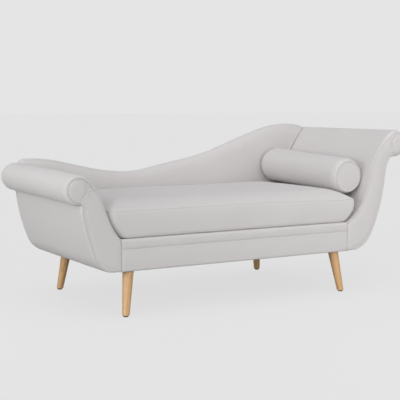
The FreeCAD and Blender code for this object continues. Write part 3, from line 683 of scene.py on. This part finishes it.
def backColumns():  # x, the arm or deck below, the top and its slope
    points, normals = backTop()
    half = body["halfSeat"]
    ends = (-(half + armHeights["low"][2] - backLook["endInset"][0]),
            half + armHeights["high"][2] - backLook["endInset"][1])
    span = ends[1] - ends[0]
    fine = np.concatenate([np.linspace(0, 1, 14) ** 1.8 * 0.03, np.arange(0.036, span - 0.033, 0.0085),
                           span - np.linspace(1, 0, 14) ** 1.8 * 0.03])
    x = ends[0] + fine
    top = np.interp(x, points[:, 0], points[:, 1])
    slope = np.interp(x, points[:, 0], normals[:, 1])
    low = np.where(x < -half, armHeights["low"][0](-x - half), body["deck"])
    low = np.where(x > half, armHeights["high"][0](x - half), low)
    return x, low, top, slope, ends


def endCorner(side, radius):  # how much a rounded end takes off the top
    return np.where(side < radius, radius - np.sqrt(np.clip(radius ** 2 - (radius - side) ** 2, 0, None)), 0)


def backInside():
    look = backLook
    x, low, top, slope, ends = backColumns()
    radius = look["endRound"]
    side = np.minimum(x - ends[0], ends[1] - x)
    crest = top - endCorner(side, radius)
    share = np.concatenate([np.linspace(0, 0.55, 22)[:-1],
                            0.55 + 0.45 * (1 - (1 - np.linspace(0, 1, 34)) ** 1.7)])
    profile = np.array(look["profile"])
    grid = np.zeros((len(share) + 3, len(x), 3))
    for j in range(len(x)):
        z = low[j] + (crest[j] - low[j]) * share
        below = (top[j] - z) * slope[j]
        near = np.where((side[j] < radius) & (below < radius),
                        radius - np.hypot(radius - side[j], radius - np.clip(below, 0, radius)),
                        np.minimum(side[j], below))
        near = np.clip(near, 0, None)
        grid[:len(share), j, 0] = x[j]
        depth = np.interp(near, profile[:, 0], profile[:, 1])
        grid[:len(share), j, 1] = body["rear"] - look["thickness"] + depth
        grid[:len(share), j, 2] = z
        for k, (y, drop) in enumerate(((0.050, 0.0001), (0.0535, 0.0009), (0.0548, 0.0030))):
            grid[len(share) + k, j] = (x[j], body["rear"] - look["thickness"] + y, crest[j] - drop)
    puff = look["ripple"] * ripple(grid, 0.30, 5) + 0.0006
    grid[:, :, 1] += puff * (1 - ease(grid[:, :, 1], body["rear"] - 0.03, body["rear"] - 0.01))
    foot = 1 - ease(grid[:, :, 2] - low[None, :], 0, 0.014)
    grid[:, :, 1] += 0.004 * foot
    inner = grid.copy()
    inner[..., 1] += body["cloth"]
    inner[-12:, :, 2] -= np.linspace(0, body["cloth"], 12)[:, None]
    inner[..., 1] = np.minimum(inner[..., 1], body["rear"] - body["cloth"])
    clothPiece("back_cloth", grid, inner, False, ["back_inside_cover", "back_foam"])


def backOutside():  # columns from the lower to the upper outline
    half = body["halfSeat"]
    x, _, _, _, ends = backColumns()
    reach = (-(half + armHeights["low"][2]), half + armHeights["high"][2])
    spread = np.linspace(0, 1, 30)
    curve, feet = 1 - np.cos(spread * math.pi / 2), half + body["armFoot"]
    more = [reach[0] + 0.0015 + (ends[0] - reach[0]) * curve, reach[1] - 0.0015 + (ends[1] - reach[1]) * curve]
    columns = np.unique(np.round(np.concatenate([x, *more, [-feet, feet]]), 5))
    radius = backLook["endRound"]
    side = np.minimum(columns - ends[0], ends[1] - columns)
    points, _ = backTop()
    crest = np.interp(columns, points[:, 0], points[:, 1])
    high = np.where(side > 0, crest - endCorner(np.clip(side, 0, radius), radius), 0)
    under = np.full(len(columns), body["bottom"])
    for key, sign in (("low", -1), ("high", 1)):
        u = sign * columns - half
        upper, lower, _ = armHeights[key]
        high = np.where(u > 0, np.maximum(high, upper(u)), high)
        under = np.where(u > body["armFoot"], lower(u), under)
    inset = np.minimum(0.0035, (high - under) * 0.2)
    high, under = high - inset, under + np.where(under > body["bottom"], inset, 0.0006)
    rows = 44
    share = cosineSpread(rows)
    grid = np.zeros((rows, len(columns), 3))
    grid[..., 0] = columns[None, :]
    grid[..., 2] = under[None, :] + (high - under)[None, :] * share[:, None]
    gap = np.minimum(grid[..., 2] - under[None, :], high[None, :] - grid[..., 2])
    gap = np.minimum(gap, np.minimum(columns - reach[0], reach[1] - columns)[None, :])
    dome = backLook["rearDome"] * (1 - np.exp(-gap / 0.008))
    grid[..., 1] = body["rear"] - backLook["rearSet"] + dome + 0.0003 * ripple(grid, 0.22, 9)
    back = grid.copy()
    back[..., 1] = body["rear"] - 0.0045
    clothPiece("rear_cloth", grid, back, True, ["outside_back_cover"])


backInside()
backOutside()
print("back ready")


# Front rail
railLook = {"seamDrop": 0.039, "seamDepth": 0.0008, "seamWidth": 0.0030, "bulge": 0.0018, "ripple": 0.0007,
            "stitchRadius": 0.0006}


def frontRail():
    look = railLook
    deck, bottom, front = body["deck"], body["bottom"], body["front"]
    seam = deck - look["seamDrop"]
    profile = [(front + y, bottom + z) for y, z in ((0.020, 0.0004), (0.012, 0.0004), (0.0065, 0.0008),
                                                    (0.0035, 0.0022), (0.0018, 0.005))]
    for z in np.concatenate([np.linspace(bottom + 0.009, seam - 0.012, 16),
                             seam + np.linspace(-0.009, 0.009, 15), np.linspace(seam + 0.012, deck - 0.009, 6)]):
        share = (z - bottom) / (seam - bottom) if z < seam else (z - seam) / (deck - seam)
        bow = look["bulge"] * (1 - (2 * share - 1) ** 2)
        groove = look["seamDepth"] * math.exp(-((z - seam) / look["seamWidth"]) ** 2)
        profile.append((front + 0.0018 - bow + groove, z))
    profile += [(front + 0.0022, deck - 0.005), (front + 0.004, deck - 0.002), (front + 0.007, deck - 0.0006),
                (front + 0.012, deck - 0.0003), (front + 0.020, deck - 0.0003)]
    profile = np.array(profile)
    half = body["halfSeat"] - 0.0006
    ends = np.array([0, 0.0012, 0.003, 0.006, 0.010, 0.016])
    x = np.concatenate([-half + ends, np.linspace(-half + 0.024, half - 0.024, 130), (half - ends)[::-1]])
    grid = np.zeros((len(profile), len(x), 3))
    grid[..., 0] = x[None, :]
    grid[..., 1], grid[..., 2] = profile[:, None, 0], profile[:, None, 1]
    face = 1 - ease(np.abs(grid[..., 1] - front), 0.003, 0.010)
    soft = look["ripple"] * ripple(grid * np.array([1, 1, 1.6]), 0.15, 3)
    nearSeam = np.exp(-((grid[..., 2] - seam) / 0.012) ** 2)
    tucks = 0.0005 * np.cos(x * 260 + 3 * np.sin(x * 31))[None, :] * nearSeam
    turnIn = 0.0025 * (1 - ease(half - np.abs(x), 0, 0.008))[None, :]
    grid[..., 1] += face * (soft + tucks + 0.0004) + turnIn
    inner = grid.copy()
    inner[..., 1] = np.maximum(grid[..., 1] + body["cloth"], front + 0.005)
    inner[:5, :, 2] += body["cloth"]
    inner[-5:, :, 2] -= body["cloth"]
    clothPiece("front_rail_cloth", grid, inner, False,
               ["front_rail_cover", "front_rail_padding"])
    thread = [(v, front + 0.0018 + look["seamDepth"] - 0.0011, seam)
              for v in np.linspace(-half + 0.004, half - 0.004, 120)]
    stitch = tubeObject("front_rail_stitch", placed(thread), look["stitchRadius"], materials["linenWelt"],
                        sides=6, up=(0, 0, 1))
    finishPiece(stitch, "frame")


frontRail()
print("front rail ready")


# Where the bolster lies, also for the dent that it makes in the cushion
bolsterLook = {
    "radius": 0.0800, "endRadius": 0.0665, "length": 0.583, "turn": 0.4, "tilt": 2.4, "sink": 0.0100,
    "weltRadius": 0.0030, "ripple": 0.0010, "sideSeam": 0.013, "seamDepth": 0.0011,
    "seamWidth": 0.0022, "dome": 0.005,
}


def bolsterPlace():  # its middle and its directions along, across and up
    lowest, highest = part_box("bolster_sleeve")
    middle = (np.array(lowest) + np.array(highest)) / 2 - np.array([0.0, 0.0, bolsterLook["sink"]])
    turn, tilt = math.radians(bolsterLook["turn"]), math.radians(bolsterLook["tilt"])
    ahead = np.array([-math.sin(turn) * math.cos(tilt), math.cos(turn) * math.cos(tilt), math.sin(tilt)])
    across = np.array([math.cos(turn), math.sin(turn), 0.0])
    return middle, ahead, across, np.cross(across, ahead)


def bolsterUnder(points):  # far above the points where it is not there
    middle, ahead, across, _ = bolsterPlace()
    local = points - middle
    v = local[..., 0] * ahead[0] + local[..., 1] * ahead[1]
    w = local[..., 0] * across[0] + local[..., 1] * across[1]
    half, radius = bolsterLook["length"] / 2, bolsterLook["radius"]
    end = 0.012 * ease(np.abs(v), half - 0.03, half)
    height = middle[2] + v * ahead[2] - np.sqrt(np.clip(radius ** 2 - w ** 2, 0, None)) + end
    return np.where((np.abs(v) < half + 0.004) & (np.abs(w) < radius), height, 9.0)


# Loose seat cushion
cushionLook = {
    "frontInset": 0.001, "backGap": 0.003, "side": 0.1067, "crown": 0.044, "crownRun": 0.117,
    "endRuns": (0.096, 0.165), "bulge": 0.004,
    "lowEnd": (-0.004, 0.036, 0.047), "highEnd": (-0.002, 0.040, 0.048), "corner": 0.028,
    "bottomSeam": 0.006, "seamDepth": 0.0026, "ripple": 0.0013, "lift": 0.0006, "highEndDrop": 0.009,
    "footRound": 0.010, "footRise": 0.0065, "weltRadius": 0.0013,
    "dentGap": 0.0012, "dentDepth": 0.012,       # under the bolster, and the most below the top seam
}


def bowed(ends, t):  # smooth curve through values at 0, a half and 1
    a, b, c = ends
    return a + t * (4 * b - 3 * a - c) + t * t * (2 * a + 2 * c - 4 * b)


def cushionPlan(level):  # at a share of the side's height
    look, half = cushionLook, body["halfSeat"]
    low, high = -half - bowed(look["lowEnd"], level), half + bowed(look["highEnd"], level)
    bow = look["bulge"] * (2 * level - 1) ** 2
    front = body["front"] + look["frontInset"] + bow
    rear = body["rear"] - backLook["thickness"] - look["backGap"] - bow
    return low, high, front, rear


def perimeter(low, high, front, rear, radius, counts=(190, 100, 12)):
    along, across, turn = counts  # the same number of points in each side and corner
    points = []
    corners = [((low + radius, front + radius), 180), ((high - radius, front + radius), 270),
               ((high - radius, rear - radius), 0), ((low + radius, rear - radius), 90)]
    for i, ((cx, cy), start) in enumerate(corners):
        for k in range(turn):
            a = math.radians(start + 90 * k / turn)
            points.append((cx + radius * math.cos(a), cy + radius * math.sin(a)))
        nextX, nextY = corners[(i + 1) % 4][0]
        a = math.radians(start + 90)
        p0 = np.array([cx + radius * math.cos(a), cy + radius * math.sin(a)])
        p1 = np.array([nextX + radius * math.cos(a), nextY + radius * math.sin(a)])
        count = along if i % 2 == 0 else across
        for k in range(count):
            points.append(tuple(p0 + (p1 - p0) * k / count))
    return np.array(points)


def seatCushion():
    look = cushionLook
    bottom, seam = body["deck"] + look["lift"], body["deck"] + look["side"]
    rows = []
    seamShare = look["bottomSeam"] / look["side"]
    low, high, front, rear = cushionPlan(0.0)
    base = perimeter(low, high, front, rear, look["corner"])
    middle = np.array([(low + high) / 2, (front + rear) / 2])
    spine = np.stack([np.clip(base[:, 0], low + 0.30, high - 0.30), np.full(len(base), middle[1])], axis=-1)
    for t in (0.0, 0.12, 0.3, 0.5, 0.7, 0.85, 0.94, 0.98):
        ring = spine + (base - spine) * t
        rows.append(np.column_stack([ring, np.full(len(ring), bottom)]))
    nearSeam = seamShare + np.array([-0.018, -0.006, 0.0, 0.006, 0.018, 0.035])
    levels = np.concatenate([[0.003, 0.012, 0.028], nearSeam, np.linspace(0.14, 0.90, 16),
                             1 - np.array([0.055, 0.035, 0.020, 0.009, 0.0])])
    levels = np.sort(levels[levels > 0])
    for t in levels:
        ring = perimeter(*cushionPlan(t), look["corner"] * (1 - 0.12 * t))
        groove = look["seamDepth"] * (math.exp(-((t - 1) * look["side"] / 0.0045) ** 2)
                                      + 0.8 * math.exp(-((t - seamShare) * look["side"] / 0.0035) ** 2))
        groove += look["footRound"] * (1 - ease(t * look["side"], 0, look["footRise"])) ** 2
        toSpine = spine - ring
        ring = ring + toSpine / np.linalg.norm(toSpine, axis=1)[:, None] * groove
        rows.append(np.column_stack([ring, np.full(len(ring), bottom + t * (seam - bottom))]))
    low, high, front, rear = cushionPlan(1.0)
    rim = rows[-1][:, :2]
    spineX, spineY = np.clip(rim[:, 0], low + 0.22, high - 0.22), np.full(len(rim), (front + rear) / 2)
    spineTop = np.stack([spineX, spineY], axis=-1)
    for t in 1 - np.array([0.006, 0.014, 0.026, 0.042, 0.064, 0.092, 0.13, 0.175, 0.225, 0.285, 0.35, 0.43,
                           0.52, 0.62, 0.74, 0.87, 1.0]):
        ring = spineTop + (rim - spineTop) * t
        side = np.minimum((ring[:, 0] - low) / look["endRuns"][0], (high - ring[:, 0]) / look["endRuns"][1])
        depth = np.minimum(ring[:, 1] - front, rear - ring[:, 1]) / look["crownRun"]
        rises = [1 - (1 - np.clip(v, 0, 1)) ** 2 for v in (side, depth)]
        soft = -0.09 * np.log(np.exp(-rises[0] / 0.09) + np.exp(-rises[1] / 0.09))  # the lower one, blended
        height = np.clip(soft, 0, 1) * look["crown"]
        rows.append(np.column_stack([ring, seam + height]))
    grid = np.array(rows)
    onSide = ease(grid[..., 2], bottom + 0.004, bottom + 0.03)
    direction = np.concatenate([grid[..., :2] - spine[None], np.zeros_like(grid[..., :1])], axis=-1)
    direction /= np.linalg.norm(direction, axis=-1)[..., None] + 1e-9
    sideRows = len(levels) + 8
    upward = np.zeros_like(grid)
    upward[..., 2] = 1.0
    blend = ease(np.arange(len(rows)).astype(float), sideRows - 2, sideRows + 3)[:, None, None]
    push = direction * (1 - blend) + upward * blend
    soft = look["ripple"] * (ripple(grid, 0.26, 17) + 0.45 * ripple(grid, 0.09, 18) - 0.5)
    grid = grid + push * (soft * onSide)[..., None]
    sunk = look["highEndDrop"] * ease(grid[..., 0], body["halfSeat"] - 0.42, body["halfSeat"] - 0.02)
    grid[..., 2] -= sunk * ease(grid[..., 2], bottom, seam) * (1 - ease(grid[..., 2], seam, seam + 0.034))
    under = bolsterUnder(placed(grid)) - look["dentGap"]
    dented = np.minimum(grid[..., 2], np.maximum(under, seam - look["dentDepth"]))
    grid[..., 2] = np.where(grid[..., 2] > seam, dented, grid[..., 2])
    grid[..., 2] = np.maximum(grid[..., 2], bottom)
    run = runLengths(np.vstack([rim, rim[:1]]))
    down = lengthsAlong(grid, 0).mean(axis=1)
    uv = meshGrid(down, run)[..., ::-1].copy()
    for flat in (slice(sideRows, None), slice(0, 8)):
        uv[flat] = np.concatenate([grid[flat, :, :2], grid[flat, :1, :2]], axis=1)
    faces, corners = gridFaces(grid.shape[0], grid.shape[1], uv, wrapCols=True)
    made = makeObject("cushion_body", placed(grid).reshape(-1, 3), faces, corners, materials["linen"])
    finishPiece(mergeClose(made), "seat_cushion",
                ["cushion_top_cover", "cushion_boxing", "cushion_bottom_cover", "cushion_foam"])
    lowSeam = 8 + int(np.argmin(np.abs(levels - seamShare)))
    for name, row in (("cushion_top_welt", sideRows - 1), ("cushion_bottom_welt", lowSeam)):
        welt = tubeObject(name, placed(grid[row]), look["weltRadius"], materials["linenWelt"], sides=8,
                          closed=True, up=(0, 0, 1))
        finishPiece(welt, "seat_cushion")


def mergeClose(made, distance=0.00002):
    mesh = bmesh.new()
    mesh.from_mesh(made.data)
    bmesh.ops.remove_doubles(mesh, verts=mesh.verts, dist=distance)
    bmesh.ops.dissolve_degenerate(mesh, edges=mesh.edges, dist=distance)
    mesh.to_mesh(made.data)
    mesh.free()
    return made


seatCushion()
print("cushion ready")


# Bolster
def bolster():
    look = bolsterLook
    centre, axis, across, up = bolsterPlace()
    half = look["length"] / 2
    shoulder = [(0.0, 0.0165), (0.0010, 0.0140), (0.0025, 0.0114), (0.005, 0.0085), (0.009, 0.0057),
                (0.014, 0.0034), (0.020, 0.0016), (0.028, 0.0004), (0.036, 0.0)]
    narrowing = look["radius"] - look["endRadius"]
    shoulder = [(s, look["radius"] - drop * narrowing / 0.016) for s, drop in shoulder]
    near = [(-half + s, r) for s, r in shoulder]
    middle = [(v, look["radius"]) for v in np.linspace(-half + 0.046, half - 0.046, 56)]
    profile = np.array(near + middle + [(-v, r) for v, r in near[::-1]])
    seam = np.exp(-((half - np.abs(profile[:, 0]) - look["sideSeam"]) / look["seamWidth"]) ** 2)
    profile[:, 1] -= look["seamDepth"] * seam
    count = 96
    angles = circle(count)

    def spin(points):
        v, r = points[..., 0], points[..., 1]
        ring = np.cos(angles)[None, :, None] * across + np.sin(angles)[None, :, None] * up
        return centre + v[:, None, None] * axis + r[:, None, None] * ring

    grid = spin(profile)
    out = np.cos(angles)[None, :, None] * across + np.sin(angles)[None, :, None] * up
    ends = ease(half - np.abs(profile[:, 0]), 0.004, 0.05)[:, None]
    gathers = 0.5 * ripple(grid * np.array([1, 0.25, 1]), 0.05, 28)
    soft = look["ripple"] * (ripple(grid, 0.20, 27) * ends + gathers * (1 - ends) - 0.4)
    grid = grid + out * soft[..., None]
    uv = meshGrid(profile[:, 0], np.linspace(0, 2 * math.pi * look["radius"], count + 1))
    discs = []
    for sign in (-1, 1):
        radii = look["endRadius"] * np.array([0.985, 0.955, 0.91, 0.83, 0.73, 0.61, 0.47, 0.33, 0.20, 0.08,
                                              0.006])
        bulge = look["dome"] * (1 - (radii / look["endRadius"]) ** 2) ** 0.7 - 0.0012
        discs.append(spin(np.stack([sign * (half + np.minimum(bulge, 0.0045)), radii], axis=-1)))
    faces, corners = gridFaces(len(profile), count, uv, wrapCols=True, flip=True)
    made = makeObject("bolster_body", grid.reshape(-1, 3), faces, corners, materials["linen"])
    finishPiece(made, "bolster", ["bolster_sleeve", "bolster_filling"])
    for sign, disc in zip((-1, 1), discs):
        rows = disc.shape[0]
        local = disc - centre
        uv = np.stack([local @ across, local @ up], axis=-1)
        uv = np.concatenate([uv, uv[:, :1]], axis=1)
        name = "bolster_front_cap" if sign < 0 else "bolster_rear_cap"
        faces, corners = gridFaces(rows, count, uv, wrapCols=True, flip=sign > 0)
        cap = makeObject(name, disc.reshape(-1, 3), faces, corners, materials["linen"])
        finishPiece(mergeClose(cap, 0.0001), "bolster", ["bolster_end_caps"])
        ring = spin(np.array([[sign * (half - 0.0005), look["endRadius"] + 0.0002]]))[0]
        welt = tubeObject(name.replace("cap", "welt"), ring, look["weltRadius"], materials["linenWelt"],
                          sides=10, closed=True, up=tuple(axis))
        finishPiece(welt, "bolster", ["bolster_piping"])


bolster()
print("bolster ready")


# Legs
legLook = {
    "endInset": 0.048, "sideInset": 0.046, "splayX": 0.025, "splayY": 0.027, "top": 0.180, "topRadius": 0.0225,
    "footRadius": 0.0145, "glide": 0.004, "footRound": 0.004, "sides": 48,
}


def legTop(sx, sy):
    x = sx * (body["halfSeat"] - legLook["endInset"]) - body["middleX"]
    return np.array([x, sy * (body["rear"] - legLook["sideInset"]), legLook["top"]])


def legs():
    look = legLook
    bends = np.linspace(0, math.pi / 2, 7)
    straight = look["glide"] + look["footRound"]
    angles = circle(look["sides"])
    rim = [(0.0, 0.0092), (0.0004, 0.0098), (0.001, 0.010), (0.0030, 0.010), (0.0036, 0.0097), (0.0039, 0.0090)]
    for sx, end in ((-1, "low"), (1, "high")):
        for sy, depth in ((-1, "front"), (1, "rear")):
            name = "leg_%s_%s" % (end, depth)
            top = legTop(sx, sy)
            foot = top + np.array([sx * look["splayX"], sy * look["splayY"], -look["top"]])
            heights = [look["glide"] + look["footRound"] * (1 - math.cos(a)) for a in bends]
            radii = [look["footRadius"] - look["footRound"] * (1 - math.sin(a)) for a in bends]
            for z in np.linspace(straight + 0.006, look["top"], 22):
                share = (z - straight) / (look["top"] - straight)
                heights.append(z)
                radii.append(look["footRadius"] + (look["topRadius"] - look["footRadius"]) * share)
            rings, grain = [], []
            turn = sx * 1.3 + sy * 0.6       # no two legs show the same grain
            for z, r in zip(heights, radii):
                centre = foot + (top - foot) * (z / look["top"])
                rings.append([(centre[0] + r * math.cos(a), centre[1] + r * math.sin(a), z) for a in angles])
                grain += [(r * math.cos(a + turn) + 0.1 * sx, r * math.sin(a + turn) + 0.17 * sy, z + 0.4 * sx)
                          for a in angles]
            made = turned(name + "_turned", rings, heights, 0.12, materials["oak"])
            attribute = made.data.attributes.new("grain", "FLOAT_VECTOR", "POINT")
            attribute.data.foreach_set("vector", np.array(grain, np.float32).reshape(-1))
            finishPiece(made, "frame", [name])
            pad = [[(foot[0] + r * math.cos(a), foot[1] + r * math.sin(a), z) for a in angles] for z, r in rim]
            made = turned(name + "_glide", pad, [z for z, _ in rim], 0.06, materials["glide"])
            finishPiece(made, "frame", ["leg_glides"])


legs()
print("legs ready")


# Deck, webbing and dust cover
deckLook = {
    "webWidth": 0.050, "webThickness": 0.0015, "crossCount": 9, "longCount": 5, "frontGap": 0.021,
    "dustInset": 0.016, "dustRearGap": 0.008, "holeRadius": 0.0237, "holeSides": 40,
    "holeReach": (0.160, 0.200),         # heights between which the leg holes are cut
}


def strip(name, x0, x1, y0, y1, z0, z1, material, cells, sag=0.0, seed=1, edge=0.0004):
    nx, ny = cells  # flat, with soft edges
    xs = x0 + (x1 - x0) * cosineSpread(nx)
    ys = y0 + (y1 - y0) * cosineSpread(ny)
    grid = np.zeros((ny, nx, 3))
    grid[..., 0], grid[..., 1] = xs[None, :], ys[:, None]
    gap = np.minimum(np.minimum(xs - x0, x1 - xs)[None, :], np.minimum(ys - y0, y1 - ys)[:, None])
    grid[..., 2] = z1 - edge * np.exp(-gap / 0.003) - sag * (0.5 + 0.5 * ripple(grid, 0.12, seed)).clip(0, 1)
    under = grid.copy()
    under[..., 2] = z0
    return sheetObject(name, placed(grid), placed(under), material)


def deck():
    look = deckLook
    half, frontY = body["halfSeat"], body["front"] + look["frontGap"]
    rearY = body["rear"] - body["cloth"] - 0.015
    web, z = look["webWidth"] / 2, body["deck"] - 0.012
    for kind, first, last, cells in (("cross", -half, half, (8, 60)), ("long", frontY, rearY, (90, 8))):
        count = look[kind + "Count"]
        step, webs = (last - first) / count, []
        for i in range(count):
            middle = first + step * (i + 0.5)
            edges = (middle - web, middle + web)
            area = edges + (frontY, rearY) if kind == "cross" else (-half, half) + edges
            webs.append(strip("%s_strap_%d" % (kind, i + 1), *area, z, z + look["webThickness"],
                              materials["webbing"], cells))
        finishPiece(joined(webs, kind + "_straps"), "frame", ["seat_%s_webbing" % kind])
        z += look["webThickness"]
    pad = strip("deck_felt", -half, half, frontY, body["rear"] - backLook["thickness"], z,
                body["deck"] - 0.0003, materials["felt"], (150, 90), sag=0.0006, seed=4, edge=0.0015)
    finishPiece(pad, "frame", ["seat_deck_pad"])


def joined(objects, name):  # one mesh of several
    vertices, faces, uvs = [], [], []
    for part in objects:
        offset = len(vertices)
        vertices += [tuple(v.co) for v in part.data.vertices]
        faces += [[offset + i for i in polygon.vertices] for polygon in part.data.polygons]
        uvs += [tuple(corner.uv) for corner in part.data.uv_layers[0].data]
        material = part.data.materials[0]
        bpy.data.objects.remove(part)
    return makeObject(name, vertices, faces, uvs, material)


def dustCover():
    look = deckLook
    reach = body["halfSeat"] + body["armFoot"] - look["dustInset"]
    hole, sides = look["holeRadius"], look["holeSides"]
    y0, y1 = body["front"] + look["frontGap"], body["rear"] - look["dustRearGap"]
    sheet = strip("dust_cloth", -reach, reach, y0, y1, body["bottom"] + 0.0002, body["bottom"] + 0.0018,
                  materials["dust"], (120, 70))
    bpy.context.view_layer.update()
    angles = [2 * math.pi * k / sides for k in range(sides)]
    for sx in (-1, 1):
        for sy in (-1, 1):
            top = legTop(sx, sy)
            ring = [(top[0] + hole * math.cos(a), top[1] + hole * math.sin(a)) for a in angles]
            rings = [[(x, y, z) for x, y in ring] for z in look["holeReach"]]
            cutter = turned("cutter", rings, (0.0, 0.0), 0.0, None, flip=False)
            modifier = sheet.modifiers.new("hole", "BOOLEAN")
            modifier.operation, modifier.object, modifier.solver = "DIFFERENCE", cutter, "EXACT"
            depsgraph = bpy.context.evaluated_depsgraph_get()
            mesh = bpy.data.meshes.new_from_object(sheet.evaluated_get(depsgraph))
            sheet.modifiers.clear()
            sheet.data = mesh
            bpy.data.objects.remove(cutter)
    finishPiece(sheet, "frame", ["dust_cover"])


deck()
dustCover()
print("deck ready")


# Finishes of the frame under the covers
nodeFinish = {
    "plywood": ["low_arm_ribs", "high_arm_ribs", "back_posts", "back_top_rail"],
    "timber": ["low_arm_stretchers", "high_arm_stretchers", "seat_front_rail", "seat_rear_rail",
               "seat_end_rails", "seat_cross_rails", "leg_corner_blocks"],
    "steel": ["leg_hanger_bolts", "leg_insert_nuts"],
}
for key, names in nodeFinish.items():
    for name in names:
        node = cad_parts[name]
        node.data.materials.clear()
        node.data.materials.append(materials[key])
print("frame finishes ready")


# Floor, light and camera
studio = {
    "floorShade": (0.783, 0.783, 0.783),
    "floorKeep": 0.87,           # share of the floor that keeps its own shade, so shadows stay faint
    "skyLight": 0.37,
    "skyColour": (0.965, 0.975, 1.0),
    "floorBounce": (0.46, 0.46, 0.46),   # shade of the floor for light that it throws back up
    "lamps": [                   # degrees around from the front and above level, spread, strength, colour
        (0.0, 82.0, 70.0, 0.64, (0.97, 0.98, 1.0)),
        (-35.0, 48.0, 70.0, 0.36, (1.0, 0.99, 0.98)),
        (-48.0, 15.0, 42.0, 0.84, (1.0, 0.985, 0.98)),
        (-88.0, 9.0, 26.0, 0.62, (0.99, 0.985, 0.995)),
        (-10.0, 12.0, 40.0, 0.38, (1.0, 0.985, 0.975)),
        (170.0, 20.0, 60.0, 0.45, (1.0, 0.99, 0.985)),
    ],
    "panels": {
        "side": {"place": (0.90, -2.35, 0.80), "target": (0.15, 0.0, 0.42), "size": 1.3, "power": 13.5},
        "card": {"place": (-1.95, -0.35, 0.50), "target": (-0.75, 0.0, 0.34), "size": 0.8, "power": 3.2},
    },
}
view = {"azimuth": -30.4, "elevation": 5.6, "distance": 4.4037, "target": (-0.0480, 0.0, 0.4018), "lens": 90.0,
        "sensor": 36.0}


def towards(around, above):
    a, e = math.radians(around), math.radians(above)
    return Vector((math.sin(a) * math.cos(e), -math.cos(a) * math.cos(e), math.sin(e)))


def buildFloor():
    mesh = bpy.data.meshes.new("floor")
    reach = 60.0
    corners = [(-reach, -reach, 0), (reach, -reach, 0), (reach, reach, 0), (-reach, reach, 0)]
    mesh.from_pydata(corners, [], [(0, 1, 2, 3)])
    floor = inScene("floor", mesh)
    material, tree, shader = newMaterial("paleFloor")
    setInputs(shader, {"Roughness": 1.0, "Specular IOR Level": 0.0})
    glow = tree.nodes.new("ShaderNodeEmission")
    glow.inputs["Color"].default_value = tinted(studio["floorShade"])
    rays = tree.nodes.new("ShaderNodeLightPath")
    mix = tree.nodes.new("ShaderNodeMixShader")
    seen = rays.outputs["Is Camera Ray"]
    shade = mixColour(tree, seen, tinted(studio["floorBounce"]), tinted(studio["floorShade"]))
    tree.links.new(shade, shader.inputs["Base Color"])
    tree.links.new(mathNode(tree, "MULTIPLY", seen, studio["floorKeep"]), mix.inputs[0])
    tree.links.new(shader.outputs[0], mix.inputs[1])
    tree.links.new(glow.outputs[0], mix.inputs[2])
    tree.links.new(mix.outputs[0], tree.nodes["Material Output"].inputs["Surface"])
    mesh.materials.append(material)


def sunLamp(name, around, above, spread, strength, colour):
    lamp = bpy.data.lights.new(name, "SUN")
    lamp.energy, lamp.color, lamp.angle = strength, colour, math.radians(spread)
    made = inScene(name, lamp)
    made.rotation_euler = towards(around, above).to_track_quat("Z", "Y").to_euler()


def panelLamp(name, place, target, size, power):  # soft square lamp that the camera doesn't see
    lamp = bpy.data.lights.new(name, "AREA")
    lamp.shape, lamp.size, lamp.energy = "SQUARE", size, power
    made = inScene(name, lamp)
    made.location = place
    made.rotation_euler = (Vector(place) - Vector(target)).to_track_quat("Z", "Y").to_euler()
    made.visible_camera = False


def buildWorld():
    world = bpy.data.worlds.new("studio")
    bpy.context.scene.world = world
    world.use_nodes = True
    tree = world.node_tree
    sky = tree.nodes["Background"]
    setInputs(sky, {"Color": tinted(studio["skyColour"]), "Strength": studio["skyLight"]})
    seen = tree.nodes.new("ShaderNodeBackground")
    seen.inputs["Color"].default_value = tinted(studio["floorShade"])
    rays = tree.nodes.new("ShaderNodeLightPath")
    mix = tree.nodes.new("ShaderNodeMixShader")
    tree.links.new(rays.outputs["Is Camera Ray"], mix.inputs[0])
    tree.links.new(sky.outputs[0], mix.inputs[1])
    tree.links.new(seen.outputs[0], mix.inputs[2])
    tree.links.new(mix.outputs[0], tree.nodes["World Output"].inputs["Surface"])


def buildCamera():
    camera = inScene("camera", bpy.data.cameras.new("camera"))
    back = towards(view["azimuth"], view["elevation"])
    camera.location = Vector(view["target"]) + back * view["distance"]
    camera.rotation_euler = back.to_track_quat("Z", "Y").to_euler()
    camera.data.lens = view["lens"]
    camera.data.sensor_width = view["sensor"]
    bpy.context.scene.camera = camera


buildFloor()
for number, lamp in enumerate(studio["lamps"], 1):
    sunLamp("lamp%d" % number, *lamp)
for name, panel in studio["panels"].items():
    panelLamp(name, **panel)
buildWorld()
buildCamera()
bpy.context.scene.view_settings.view_transform = "Standard"
print("studio ready")
